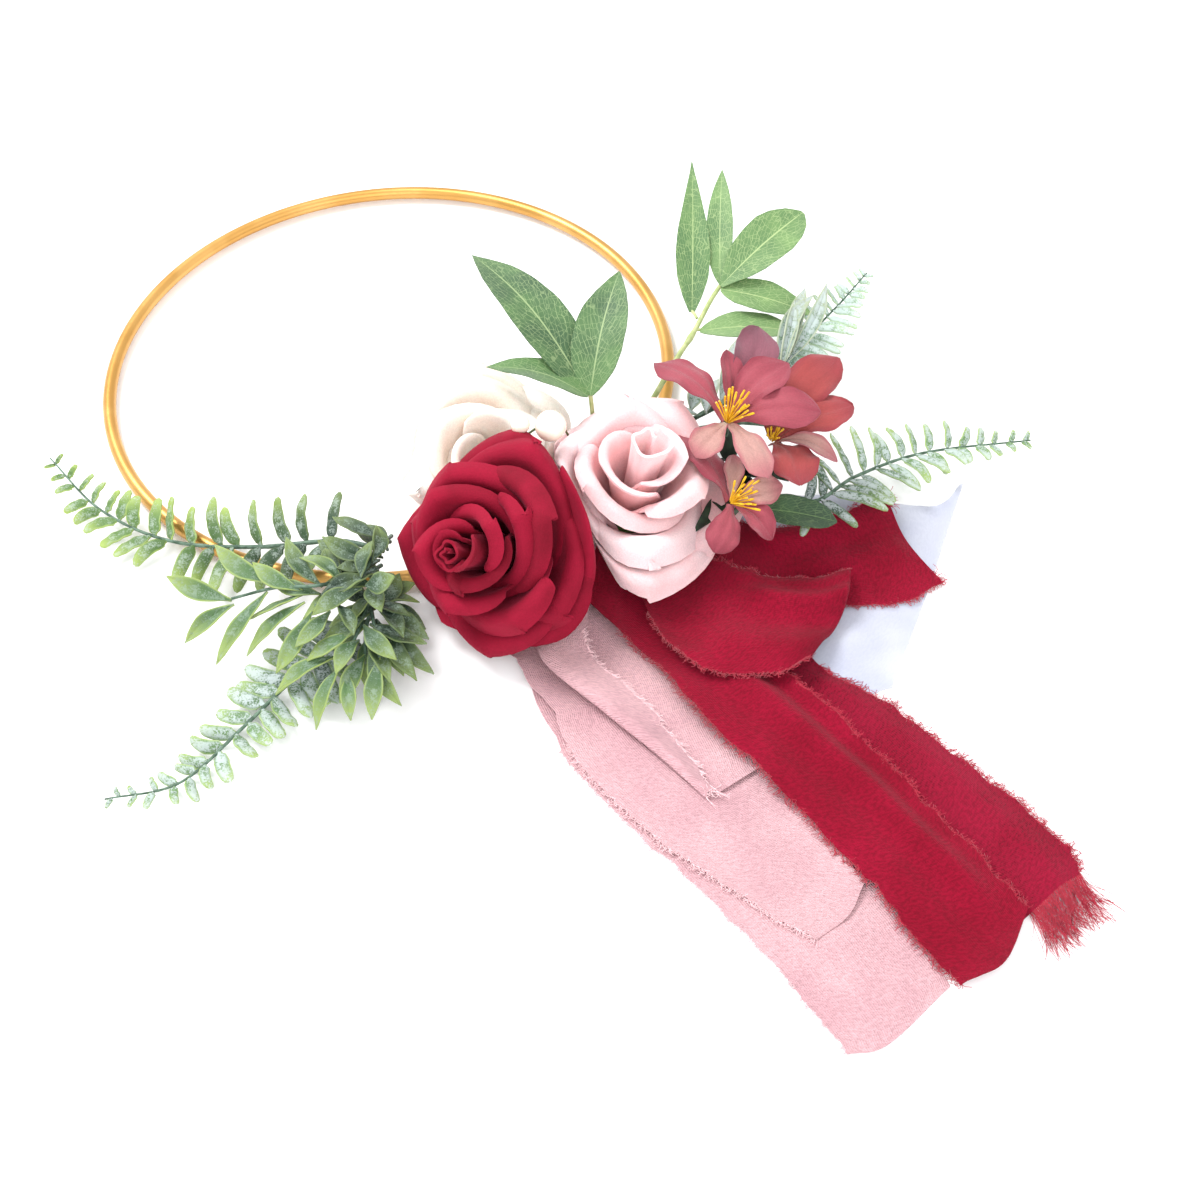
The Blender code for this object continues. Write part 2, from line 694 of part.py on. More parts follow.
def blossoms():
    right = clear_right
    rose_tips = [(right(32, -6, 61), 0.015), (right(2, 26, 67), 0.011), (right(-28, 22, 66), 0.017)]
    rose_tips += [(right(-5, -17, 57), 0.011), (right(11, -31, 55), 0.013)]
    centre = right(-1, 0, 53)
    blossom("blossom_front", centre, (0, -0.2, 1), rose_tips, 0.012, right(-20, 31, 15), right(-8, 18, 30))
    coral_tips = [(right(48, 8, 50), 0.016), (right(45, 31, 56), 0.015), (right(14, 42, 62), 0.016)]
    coral_tips += [(right(23, -21, 44), 0.015)]
    centre = right(27, 15, 42)
    blossom("blossom_back", centre, (0.2, -0.1, 1), coral_tips, 0.006, right(-17, 33, 17), right(6, 26, 28))
    pale_tips = [(right(17, -24, 42), 0.014), (right(14, -40, 31), 0.012), (right(6, -10, 40), 0.010)]
    pale_tips += [(right(1, -41, 26), 0.011)]
    centre = right(4, -25, 33)
    blossom("blossom_low", centre, (0.5, -0.2, 1), pale_tips, 0.010, right(-14, 20, 15), right(-1, 0, 21))


# ---------------------------------------------------------------- ribbons

KNOT = on_hoop(KNOT_ANGLE, HOOP_RADIUS + SLEEVE_BORE + KNOT_WRAP + GATHERED / 2 + 0.001)


def layer(number):
    return CLOTH / 2 + LAYER * number


def strip(name, stations, slot):
    """A length of ribbon: each station is the middle, the way across, and the width there."""
    bm = bmesh.new()
    rows = []
    for middle, across, width in stations:
        rows.append([bm.verts.new(middle + across * width * k / 2) for k in (-1, 0, 1)])
    for a, b in zip(rows, rows[1:]):
        bm.faces.new((a[0], a[1], b[1], b[0]))
        bm.faces.new((a[1], a[2], b[2], b[1]))
    return thicken(make(name, bm, slot, origin=KNOT), CLOTH)


def tail(name, number, points, slot, width=RIBBON_WIDTH, flare=4, steps=10, slant=0.0):
    """A ribbon that runs flat from the knot, gathered there and spread out further on."""
    level = layer(number)
    path = smooth_path([Vector((p.x, p.y, level)) for p in [KNOT, *points]], steps)
    stations = []
    for i, point in enumerate(path):
        tangent = (path[min(i + 1, steps)] - path[max(i - 1, 0)]).normalized()
        spread = min(1.0, i / flare)
        wide = GATHERED + (width - GATHERED) * spread * spread * (3 - 2 * spread)
        across = tangent.cross(UP)
        if i == steps:
            across = (across + tangent * slant).normalized() * math.hypot(1, slant)
        stations.append((point, across, wide))
    return strip(name, stations, slot)


def ribbons():
    tail("ribbon_white", 0, [at(80, -10, 0), at(143, -33, 0)], "ribbon_white", 0.100, 8, 8)
    pink = [at(-12, -62, 0), at(24, -125, 0), at(78, -192, 0), at(108, -236, 0)]
    tail("ribbon_pink_long", 1, pink, "ribbon_pink", slant=-0.15)
    pink = [at(-6, -60, 0), at(26, -118, 0), at(58, -160, 0), at(86, -191, 0)]
    tail("ribbon_pink_middle", 2, pink, "ribbon_pink", RIBBON_WIDTH * 0.85, slant=-0.2)
    burgundy = [at(28, -47, 0), at(64, -100, 0), at(106, -154, 0), at(139, -211, 0)]
    tail("ribbon_burgundy_lower", 5, burgundy, "ribbon_burgundy", slant=0.25)
    burgundy = [at(50, -60, 0), at(90, -105, 0), at(130, -141, 0), at(168, -198, 0)]
    tail("ribbon_burgundy_upper", 6, burgundy, "ribbon_burgundy", RIBBON_WIDTH * 0.8, slant=0.2)
    short = [at(60, -16, 0), at(100, -20, 0), at(135, -23, 0)]
    tail("ribbon_burgundy_short", 7, short, "ribbon_burgundy", slant=0.45, steps=8)
    fold = [at(5, -50, 0), at(26, -100, 0), at(55, -136, 0)]
    folded("ribbon_pink_fold", 3, fold, RIBBON_WIDTH * 0.55, LAYER, "ribbon_pink")
    loop = [at(40, -38, 0), at(70, -52, 0), at(99, -63, 0)]
    folded("ribbon_burgundy_loop", 8, loop, RIBBON_WIDTH * 0.95, 0.0018, "ribbon_burgundy")


def folded(name, number, points, width, lift, slot):
    """A ribbon that runs out from the knot, folds at its end, and comes part of the way back on top."""
    level = layer(number)
    out = smooth_path([Vector((p.x, p.y, level)) for p in [KNOT, *points]], 7)
    back = [point + UP * lift for point in reversed(out[3:-1])]
    tangent = (out[-1] - out[-2]).normalized()
    crease = out[-1] + tangent * 0.001 + UP * lift / 2
    stations = []
    for i, point in enumerate(out):
        ahead = (out[min(i + 1, len(out) - 1)] - out[max(i - 1, 0)]).normalized()
        spread = min(1.0, i / 4)
        stations.append((point, ahead.cross(UP), GATHERED + (width - GATHERED) * spread))
    stations.append((crease, tangent.cross(UP), width))
    for point, (_, across, wide) in zip(back, reversed(stations[3:-2])):
        stations.append((point, across, wide))
    return strip(name, stations, slot)


# ---------------------------------------------------------------- the wreath

def stand_on_origin():
    """Moves the wreath so that the middle of its box is over the origin, and its lowest point on z = 0."""
    bpy.context.view_layer.update()
    graph = bpy.context.evaluated_depsgraph_get()
    corners = []
    for thing in bpy.context.scene.objects:
        solid = thing.evaluated_get(graph)
        corners += [thing.matrix_world @ vertex.co for vertex in solid.data.vertices]
    low = Vector([min(corner[i] for corner in corners) for i in range(3)])
    high = Vector([max(corner[i] for corner in corners) for i in range(3)])
    middle = (low + high) / 2
    for thing in bpy.context.scene.objects:
        thing.location -= Vector((middle.x, middle.y, low.z))


def main():
    for thing in list(bpy.data.objects):
        bpy.data.objects.remove(thing)
    hoop()
    binding()
    roses()
    pearls()
    ferns()
    sprays()
    green_leaves()
    blossoms()
    ribbons()
    stand_on_origin()


main()
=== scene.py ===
"""The looks of a harvest door wreath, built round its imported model.

Places in the layouts are in millimetres from the point of the hoop that carries the flowers, with heights
above the table.
"""

import json
import math
import random
from typing import NamedTuple

import bmesh
import bpy
import numpy as np
from mathutils import Matrix, Vector

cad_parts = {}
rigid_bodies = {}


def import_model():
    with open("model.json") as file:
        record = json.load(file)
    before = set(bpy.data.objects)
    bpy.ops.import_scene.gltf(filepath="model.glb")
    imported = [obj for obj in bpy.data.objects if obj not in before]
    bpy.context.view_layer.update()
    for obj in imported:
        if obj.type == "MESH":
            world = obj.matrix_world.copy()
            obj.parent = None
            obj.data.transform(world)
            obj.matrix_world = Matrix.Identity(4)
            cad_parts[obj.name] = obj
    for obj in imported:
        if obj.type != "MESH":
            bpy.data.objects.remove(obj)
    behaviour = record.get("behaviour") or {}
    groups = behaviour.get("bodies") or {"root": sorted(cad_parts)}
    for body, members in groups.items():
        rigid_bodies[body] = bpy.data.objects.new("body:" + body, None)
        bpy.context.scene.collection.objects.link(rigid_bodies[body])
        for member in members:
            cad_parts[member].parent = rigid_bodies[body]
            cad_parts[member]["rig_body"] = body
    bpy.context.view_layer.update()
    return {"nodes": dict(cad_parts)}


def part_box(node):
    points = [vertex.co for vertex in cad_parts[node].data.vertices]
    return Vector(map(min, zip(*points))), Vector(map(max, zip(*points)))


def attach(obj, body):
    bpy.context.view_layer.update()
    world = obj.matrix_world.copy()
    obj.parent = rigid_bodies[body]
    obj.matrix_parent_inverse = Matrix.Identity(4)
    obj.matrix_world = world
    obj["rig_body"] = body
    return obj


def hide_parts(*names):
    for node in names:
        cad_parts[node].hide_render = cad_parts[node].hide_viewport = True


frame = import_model()
NODES = frame["nodes"]
MM = 0.001
UP = np.array([0.0, 0.0, 1.0])

HOOP_LOW, HOOP_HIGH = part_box("hoop_ring")
HOOP_CENTRE = (HOOP_LOW + HOOP_HIGH) / 2
TUBE_RADIUS = (HOOP_HIGH.z - HOOP_LOW.z) / 2
HOOP_RADIUS = (HOOP_HIGH.x - HOOP_LOW.x) / 2 - TUBE_RADIUS
CLUSTER_ANGLE = math.radians(-48)
ANCHOR = np.array(
    [
        HOOP_CENTRE.x + HOOP_RADIUS * math.cos(CLUSTER_ANGLE),
        HOOP_CENTRE.y + HOOP_RADIUS * math.sin(CLUSTER_ANGLE),
        0.0,
    ]
)


def at(x, y, z):
    return ANCHOR + np.array([x, y, z]) * MM


def table(text):
    """The numbers of a layout, as a list for each part between commas."""
    return [[float(word) for word in row.split()] for row in text.split(",")]


def leaf_rows(text):
    """Leaves, each as its base, its tip and its width."""
    return [(row[:3], row[3:6], row[6]) for row in table(text)]


def cloth_rows(text, across):
    """Rows of places for a ribbon, with a number of places across it; a height that isn't given is 0."""
    rows = np.array(table(text)).reshape(-1, across, len(table(text)[0]) // across)
    return np.concatenate([rows, np.zeros((*rows.shape[:2], 3 - rows.shape[2]))], 2)


def unit(v):
    v = np.asarray(v, float)
    return v / max(np.linalg.norm(v), 1e-12)


# ---------------------------------------------------------------- materials


class Paint:
    """A material under construction: a Principled shader and the nodes that feed it."""

    def __init__(self, name, roughness=0.6, **sockets):
        self.material = bpy.data.materials.new(name)
        self.material.use_nodes = True
        self.tree = self.material.node_tree
        self.shader = self.tree.nodes["Principled BSDF"]
        self.set("Roughness", roughness)
        for key, value in sockets.items():
            self.set(key.replace("_", " "), value)
        self.where = self.add("TexCoord")

    def set(self, socket, value):
        self.put(self.shader.inputs[socket], value)

    def put(self, socket, value):
        if isinstance(value, bpy.types.NodeSocket):
            self.tree.links.new(value, socket)
        elif isinstance(value, tuple) and socket.type == "RGBA":
            socket.default_value = (*value[:3], 1)
        else:
            socket.default_value = value

    def add(self, kind, inputs=None, **settings):
        node = self.tree.nodes.new("ShaderNode" + kind)
        for key, value in settings.items():
            setattr(node, key, value)
        for key, value in (inputs or {}).items():
            self.put(node.inputs[key], value)
        return node

    def spot(self, stretch=(1, 1, 1), uv=False):
        source = self.where.outputs["UV" if uv else "Object"]
        return self.add("Mapping", {"Vector": source, "Scale": stretch}).outputs[0]

    def noise(self, scale, detail=2.0, rough=0.5, vector=None):
        vector = vector or self.where.outputs["Object"]
        found = self.add("TexNoise", {"Vector": vector, "Scale": scale, "Detail": detail, "Roughness": rough})
        return found.outputs["Fac"]

    def part(self, name):
        """One channel of the 'make' attribute: tint (random), along (the frond), blade (along the leaf)."""
        colour = self.add("Attribute", attribute_name="make").outputs["Color"]
        return self.add("SeparateColor", {"Color": colour}).outputs[{"tint": 0, "along": 1, "blade": 2}[name]]

    def across(self):
        """The distance from a leaf's midrib: 0 there and 1 at its edge."""
        u = self.add("SeparateXYZ", {"Vector": self.where.outputs["UV"]}).outputs[0]
        return self.sum("ABSOLUTE", self.sum("MULTIPLY_ADD", u, 2.0, -1.0))

    def sum(self, operation, a, b=0.0, c=0.0, clamp=False):
        made = self.add("Math", {0: a, 1: b, 2: c}, operation=operation, use_clamp=clamp)
        return made.outputs[0]

    def step(self, value, low, high, out_low=0.0, out_high=1.0):
        made = self.add(
            "MapRange",
            {"Value": value, "From Min": low, "From Max": high, "To Min": out_low, "To Max": out_high},
            interpolation_type="SMOOTHSTEP",
        )
        return made.outputs[0]

    def mix(self, share, a, b, blend="MIX"):
        made = self.add("Mix", {0: share, 6: a, 7: b}, data_type="RGBA", blend_type=blend)
        return made.outputs[2]

    def bump(self, height, depth, strength=1.0, normal=None):
        made = self.add("Bump", {"Height": height, "Distance": depth, "Strength": strength})
        if normal:
            self.put(made.inputs["Normal"], normal)
        return made.outputs[0]


def srgb(r, g, b):
    def linear(c):
        c = c / 255
        return c / 12.92 if c <= 0.04045 else ((c + 0.055) / 1.055) ** 2.4

    return (linear(r), linear(g), linear(b))


def gold():
    paint = Paint("gold_satin", 0.38, Metallic=0.72)
    fine = paint.noise(900, 3)
    broad = paint.noise(40, 2)
    colour = paint.mix(paint.step(broad, 0.35, 0.65), srgb(190, 142, 72), srgb(206, 160, 92))
    paint.set("Base Color", colour)
    paint.set("Roughness", paint.step(fine, 0.3, 0.7, 0.32, 0.44))
    paint.set("Normal", paint.bump(fine, 0.00003, 0.5))
    return paint.material


def foam(name, shaded, lit, glow, scatter=0.0):
    paint = Paint(name, 0.85)
    grain = paint.noise(1500, 4, 0.65)
    cloud = paint.noise(70, 2)
    tint = paint.sum("MULTIPLY_ADD", paint.part("tint"), 0.5, cloud)
    # The two foam colours are copies of the foam's colour in shade and in light, mixed at random from petal to
    # petal: painted shade and light.
    colour = paint.mix(paint.step(tint, 0.4, 1.0), shaded, lit)
    speck = paint.mix(paint.step(grain, 0.35, 0.7), (0.86, 0.86, 0.86), (1.0, 1.0, 1.0))
    paint.set("Base Color", paint.mix(1.0, colour, speck, "MULTIPLY"))
    paint.set("Sheen Weight", 0.16)
    paint.set("Sheen Roughness", 0.4)
    paint.set("Specular IOR Level", 0.2)
    paint.set("Sheen Tint", glow)
    if scatter:
        paint.set("Subsurface Weight", scatter)
        paint.set("Subsurface Radius", (0.010, 0.005, 0.004))
        paint.set("Subsurface Scale", 1.0)
    paint.set("Normal", paint.bump(grain, 0.00035, 0.55))
    return paint.material


def crepe(name, thin, thick, opacity, grain_depth=0.0006, sheen=0.12, painted_hollow_shade=0.70):
    """Crepe or chiffon: pebbled grain with painted shade in its hollows, darker by a share, over a fine weave.
    """
    paint = Paint(name, 0.8)
    paint.set("Alpha", opacity)
    pebble = paint.noise(560, 3, 0.6, paint.spot((1.0, 1.8, 1.0), uv=True))
    weave = paint.add(
        "TexWave", {"Vector": paint.spot(uv=True), "Scale": 380.0, "Distortion": 1.5, "Detail": 1.0}
    ).outputs["Fac"]
    broad = paint.noise(35, 2)
    colour = paint.mix(paint.step(broad, 0.3, 0.7), thick, thin)
    # Painted shade: the colour is darkened in the hollows of the pebble bump.
    shade = paint.mix(paint.step(pebble, 0.36, 0.62), (painted_hollow_shade, painted_hollow_shade, painted_hollow_shade), (1.0, 1.0, 1.0))
    paint.set("Base Color", paint.mix(1.0, colour, shade, "MULTIPLY"))
    paint.set("Sheen Weight", sheen)
    paint.set("Sheen Roughness", 0.5)
    paint.set("Specular IOR Level", 0.1)
    height = paint.sum("MULTIPLY_ADD", weave, 0.25, pebble)
    paint.set("Normal", paint.bump(height, grain_depth, 0.8))
    return paint.material


def thread(name, colour):
    paint = Paint(name, 0.8)
    tint = paint.noise(500, 1)
    darker = tuple(c * 0.75 for c in colour)
    paint.set("Base Color", paint.mix(paint.step(tint, 0.3, 0.7), darker, colour))
    paint.set("Sheen Weight", 0.3)
    return paint.material


def frosted(name, dark, green, lime, frost, amount, edge_share=0.5):
    """Moulded green plastic, dark with painted shade near the flowers, lime at its tips, dusted with blue-white
    frost.
    """
    paint = Paint(name, 0.6)
    tint = paint.part("tint")
    along = paint.part("along")
    blade = paint.part("blade")
    patch = paint.noise(260, 3, 0.6)
    speck = paint.noise(1500, 3, 0.65)
    # Random tone, and painted shade that darkens the leaves near the flowers and towards their bases.
    tone_and_painted_shade = paint.sum("MULTIPLY_ADD", tint, 0.25, paint.sum("MULTIPLY_ADD", blade, 0.2, along))
    base = paint.mix(paint.step(tone_and_painted_shade, 0.0, 0.85), dark, green)
    edge = paint.sum("MULTIPLY", paint.step(paint.across(), 0.72, 1.0), edge_share)
    tip = paint.step(blade, 0.35, 1.05, 0.0, 0.9)
    lighter = paint.sum("MAXIMUM", edge, tip)
    lighter = paint.sum("MULTIPLY", lighter, paint.step(tone_and_painted_shade, 0.05, 0.75, 0.15, 1.0))
    body = paint.mix(lighter, base, lime)
    middle = paint.step(paint.across(), 0.45, 0.95, 1.0, 0.25)
    dust = paint.sum("ADD", paint.sum("MULTIPLY", patch, 0.55), paint.sum("MULTIPLY", speck, 0.6))
    dust = paint.step(dust, 0.63 - amount * 0.2, 0.75 - amount * 0.2)
    dust = paint.sum("MULTIPLY", paint.sum("MULTIPLY", dust, middle), 0.2 + amount * 0.75)
    paint.set("Base Color", paint.mix(dust, body, frost))
    paint.set("Roughness", paint.step(speck, 0.3, 0.7, 0.45, 0.75))
    height = paint.sum("MULTIPLY_ADD", dust, 0.6, speck)
    paint.set("Normal", paint.bump(height, 0.0004, 0.6))
    paint.set("Subsurface Weight", 0.06)
    paint.set("Subsurface Radius", (0.002, 0.003, 0.001))
    return paint.material


def printed_leaf(name, shadow, green, vein):
    """A fabric leaf with a printed midrib and a network of veins."""
    paint = Paint(name, 0.6)
    uv = paint.add("SeparateXYZ", {"Vector": paint.where.outputs["UV"]})
    v = uv.outputs[1]
    out = paint.across()
    wander = paint.noise(160, 2)
    slant = paint.sum("MULTIPLY_ADD", out, -0.42, v)
    slant = paint.sum("MULTIPLY_ADD", wander, 0.10, slant)
    lines = paint.sum("PINGPONG", paint.sum("MULTIPLY", slant, 15.0), 0.5)
    side_veins = paint.step(lines, 0.0, 0.08, 1.0, 0.0)
    cells = paint.add(
        "TexVoronoi", {"Vector": paint.spot(), "Scale": 360.0}, feature="DISTANCE_TO_EDGE"
    ).outputs["Distance"]
    net = paint.step(cells, 0.0, 0.065, 0.6, 0.0)
    midrib = paint.step(out, 0.012, 0.045, 0.8, 0.0)
    broken = paint.step(paint.noise(330, 2), 0.35, 0.6, 0.45, 1.0)
    veins = paint.sum("MULTIPLY", paint.sum("MAXIMUM", side_veins, net), broken)
    veins = paint.sum("MAXIMUM", midrib, paint.sum("MULTIPLY", veins, 0.78))
    cloud = paint.sum("ADD", paint.noise(60, 2), paint.sum("MULTIPLY", paint.part("tint"), 0.35))
    body = paint.mix(paint.step(cloud, 0.35, 0.95), shadow, green)
    rim = paint.step(out, 0.86, 1.0, 0.0, 0.35)
    body = paint.mix(rim, body, shadow)
    paint.set("Base Color", paint.mix(veins, body, vein))
    paint.set("Normal", paint.bump(veins, 0.0002, -0.5))
    paint.set("Sheen Weight", 0.15)
    return paint.material


def petal_cloth(name, base, middle, rim):
    """Blossom fabric: pale at the base of the petal and deeper towards its rim, with fine streaks."""
    paint = Paint(name, 0.7)
    blade = paint.part("blade")
    streak = paint.noise(9.0, 3, 0.6, paint.spot((9.0, 0.7, 1.0), uv=True))
    cloud = paint.noise(120, 2)
    shade = paint.sum("MULTIPLY_ADD", cloud, 0.35, blade)
    shade = paint.sum("MULTIPLY_ADD", paint.part("tint"), 0.35, shade)
    colour = paint.mix(paint.step(shade, 0.15, 0.55), base, middle)
    outer = paint.step(paint.sum("MAXIMUM", paint.across(), blade), 0.60, 1.0)
    colour = paint.mix(paint.sum("MULTIPLY", outer, 0.85), colour, rim)
    veins = paint.step(streak, 0.35, 0.65)
    colour = paint.mix(paint.sum("MULTIPLY", veins, 0.34), colour, tuple(c * 0.55 for c in middle))
    weave = paint.noise(1400, 3, 0.6)
    grain = paint.mix(paint.step(weave, 0.3, 0.7), (0.86, 0.86, 0.86), (1.0, 1.0, 1.0))
    paint.set("Base Color", paint.mix(1.0, colour, grain, "MULTIPLY"))
    paint.set("Sheen Weight", 0.2)
    height = paint.sum("MULTIPLY_ADD", weave, 0.35, streak)
    paint.set("Normal", paint.bump(height, 0.0004, 0.6))
    return paint.material


def plain(name, dark, light, roughness, scale=300.0, depth=0.0001, **sockets):
    paint = Paint(name, roughness, **sockets)
    cloud = paint.noise(scale, 3)
    paint.set("Base Color", paint.mix(paint.step(cloud, 0.3, 0.7), dark, light))
    paint.set("Normal", paint.bump(cloud, depth, 0.6))
    return paint.material


def pearl_paint():
    paint = Paint("pearl_lustre", 0.22, Coat_Weight=0.7, Coat_Roughness=0.08)
    cloud = paint.noise(160, 2)
    rim = paint.add("LayerWeight", {"Blend": 0.35}).outputs["Facing"]
    colour = paint.mix(paint.step(cloud, 0.3, 0.7), srgb(250, 240, 222), srgb(253, 247, 236))
    paint.set("Base Color", paint.mix(rim, colour, srgb(238, 212, 190)))
    paint.set("Subsurface Weight", 0.15)
    paint.set("Subsurface Radius", (0.004, 0.003, 0.002))
    paint.set("Normal", paint.bump(cloud, 0.00002, 0.3))
    return paint.material


PAINTS = {
    "gold": gold(),
    "burgundy foam": foam("foam_burgundy", srgb(116, 4, 30), srgb(146, 12, 44), srgb(230, 100, 130)),
    "pink foam": foam("foam_pink", srgb(250, 198, 200), srgb(254, 218, 220), srgb(255, 236, 236), 0.25),
    "ivory foam": foam("foam_ivory", srgb(250, 232, 218), srgb(254, 244, 235), srgb(255, 248, 240), 0.22),
    "burgundy cloth": crepe("crepe_burgundy", srgb(148, 11, 44), srgb(132, 7, 36), 0.90, sheen=0.04),
    "burgundy sheer": crepe("crepe_burgundy_sheer", srgb(152, 16, 50), srgb(140, 10, 42), 0.80, sheen=0.05),
    "pink cloth": crepe("crepe_pink", srgb(217, 173, 179), srgb(204, 158, 166), 0.97, 0.0012, painted_hollow_shade=0.80),
    "white cloth": crepe(
        "chiffon_white", srgb(204, 207, 220), srgb(190, 194, 212), 0.58, 0.0001, painted_hollow_shade=0.95
    ),
    "burgundy thread": thread("thread_burgundy", srgb(163, 13, 46)),
    "pink thread": thread("thread_pink", srgb(236, 196, 201)),
    "frond": frosted(
        "frosted_fern", srgb(26, 54, 37), srgb(80, 113, 52), srgb(150, 171, 85), srgb(174, 188, 179),
        0.42, 0.8,
    ),
    "snowy frond": frosted(
        "frosted_fern_heavy", srgb(43, 70, 58), srgb(94, 128, 76), srgb(153, 176, 99), srgb(187, 198, 200),
        0.72, 0.9,
    ),
    "mint frond": frosted(
        "frosted_fern_mint", srgb(96, 132, 112), srgb(138, 168, 138), srgb(176, 198, 146),
        srgb(204, 218, 216), 0.85, 0.8,
    ),
    "spray": frosted(
        "frosted_spray", srgb(17, 42, 30), srgb(72, 104, 60), srgb(148, 166, 91), srgb(138, 156, 143),
        0.42, 0.85,
    ),
    "pale spray": frosted(
        "frosted_spray_pale", srgb(43, 69, 57), srgb(95, 122, 96), srgb(175, 182, 151),
        srgb(174, 186, 186), 0.80, 0.8,
    ),
    "trio leaf": printed_leaf("leaf_deep", srgb(44, 77, 42), srgb(77, 113, 60), srgb(148, 168, 118)),
    "light leaf": printed_leaf("leaf_light", srgb(69, 105, 60), srgb(105, 138, 81), srgb(167, 186, 129)),
    "dark leaf": printed_leaf("leaf_dark", srgb(27, 55, 32), srgb(53, 87, 48), srgb(103, 131, 80)),
    "rose petal": petal_cloth("petal_rose", srgb(182, 126, 120), srgb(158, 62, 77), srgb(138, 40, 60)),
    "mauve petal": petal_cloth("petal_mauve", srgb(152, 96, 104), srgb(134, 72, 88), srgb(118, 58, 76)),
    "coral petal": petal_cloth("petal_coral", srgb(158, 88, 70), srgb(157, 54, 53), srgb(140, 34, 48)),
    "pale petal": petal_cloth("petal_pale", srgb(194, 180, 160), srgb(184, 138, 130), srgb(168, 80, 94)),
    "stamen": plain("stamen_yellow", srgb(214, 156, 16), srgb(240, 200, 48), 0.5),
    "pearl": pearl_paint(),
    "pale stem": plain("stem_pale", srgb(148, 164, 101), srgb(182, 189, 135), 0.55),
    "dark stem": plain("stem_dark", srgb(40, 68, 49), srgb(94, 119, 101), 0.6),
    # Painted shade: the colour of leaves deep in shade, for the gaps between the blossoms.
    "shade leaf": plain("leaf_shade", srgb(16, 34, 22), srgb(34, 60, 38), 0.6, 400.0, 0.0003),
    "wire": plain("wire_green", srgb(62, 80, 44), srgb(90, 110, 60), 0.5),
    "tape": plain("tape_green", srgb(48, 72, 36), srgb(72, 98, 50), 0.85, 1500.0, 0.0003),
    "calyx": plain("calyx_green", srgb(54, 88, 44), srgb(84, 120, 58), 0.6),
    "floor": plain("floor_white", (0.93, 0.93, 0.94), (0.95, 0.95, 0.96), 0.9, 3.0, 0.00001),
}


# ---------------------------------------------------------------- meshes


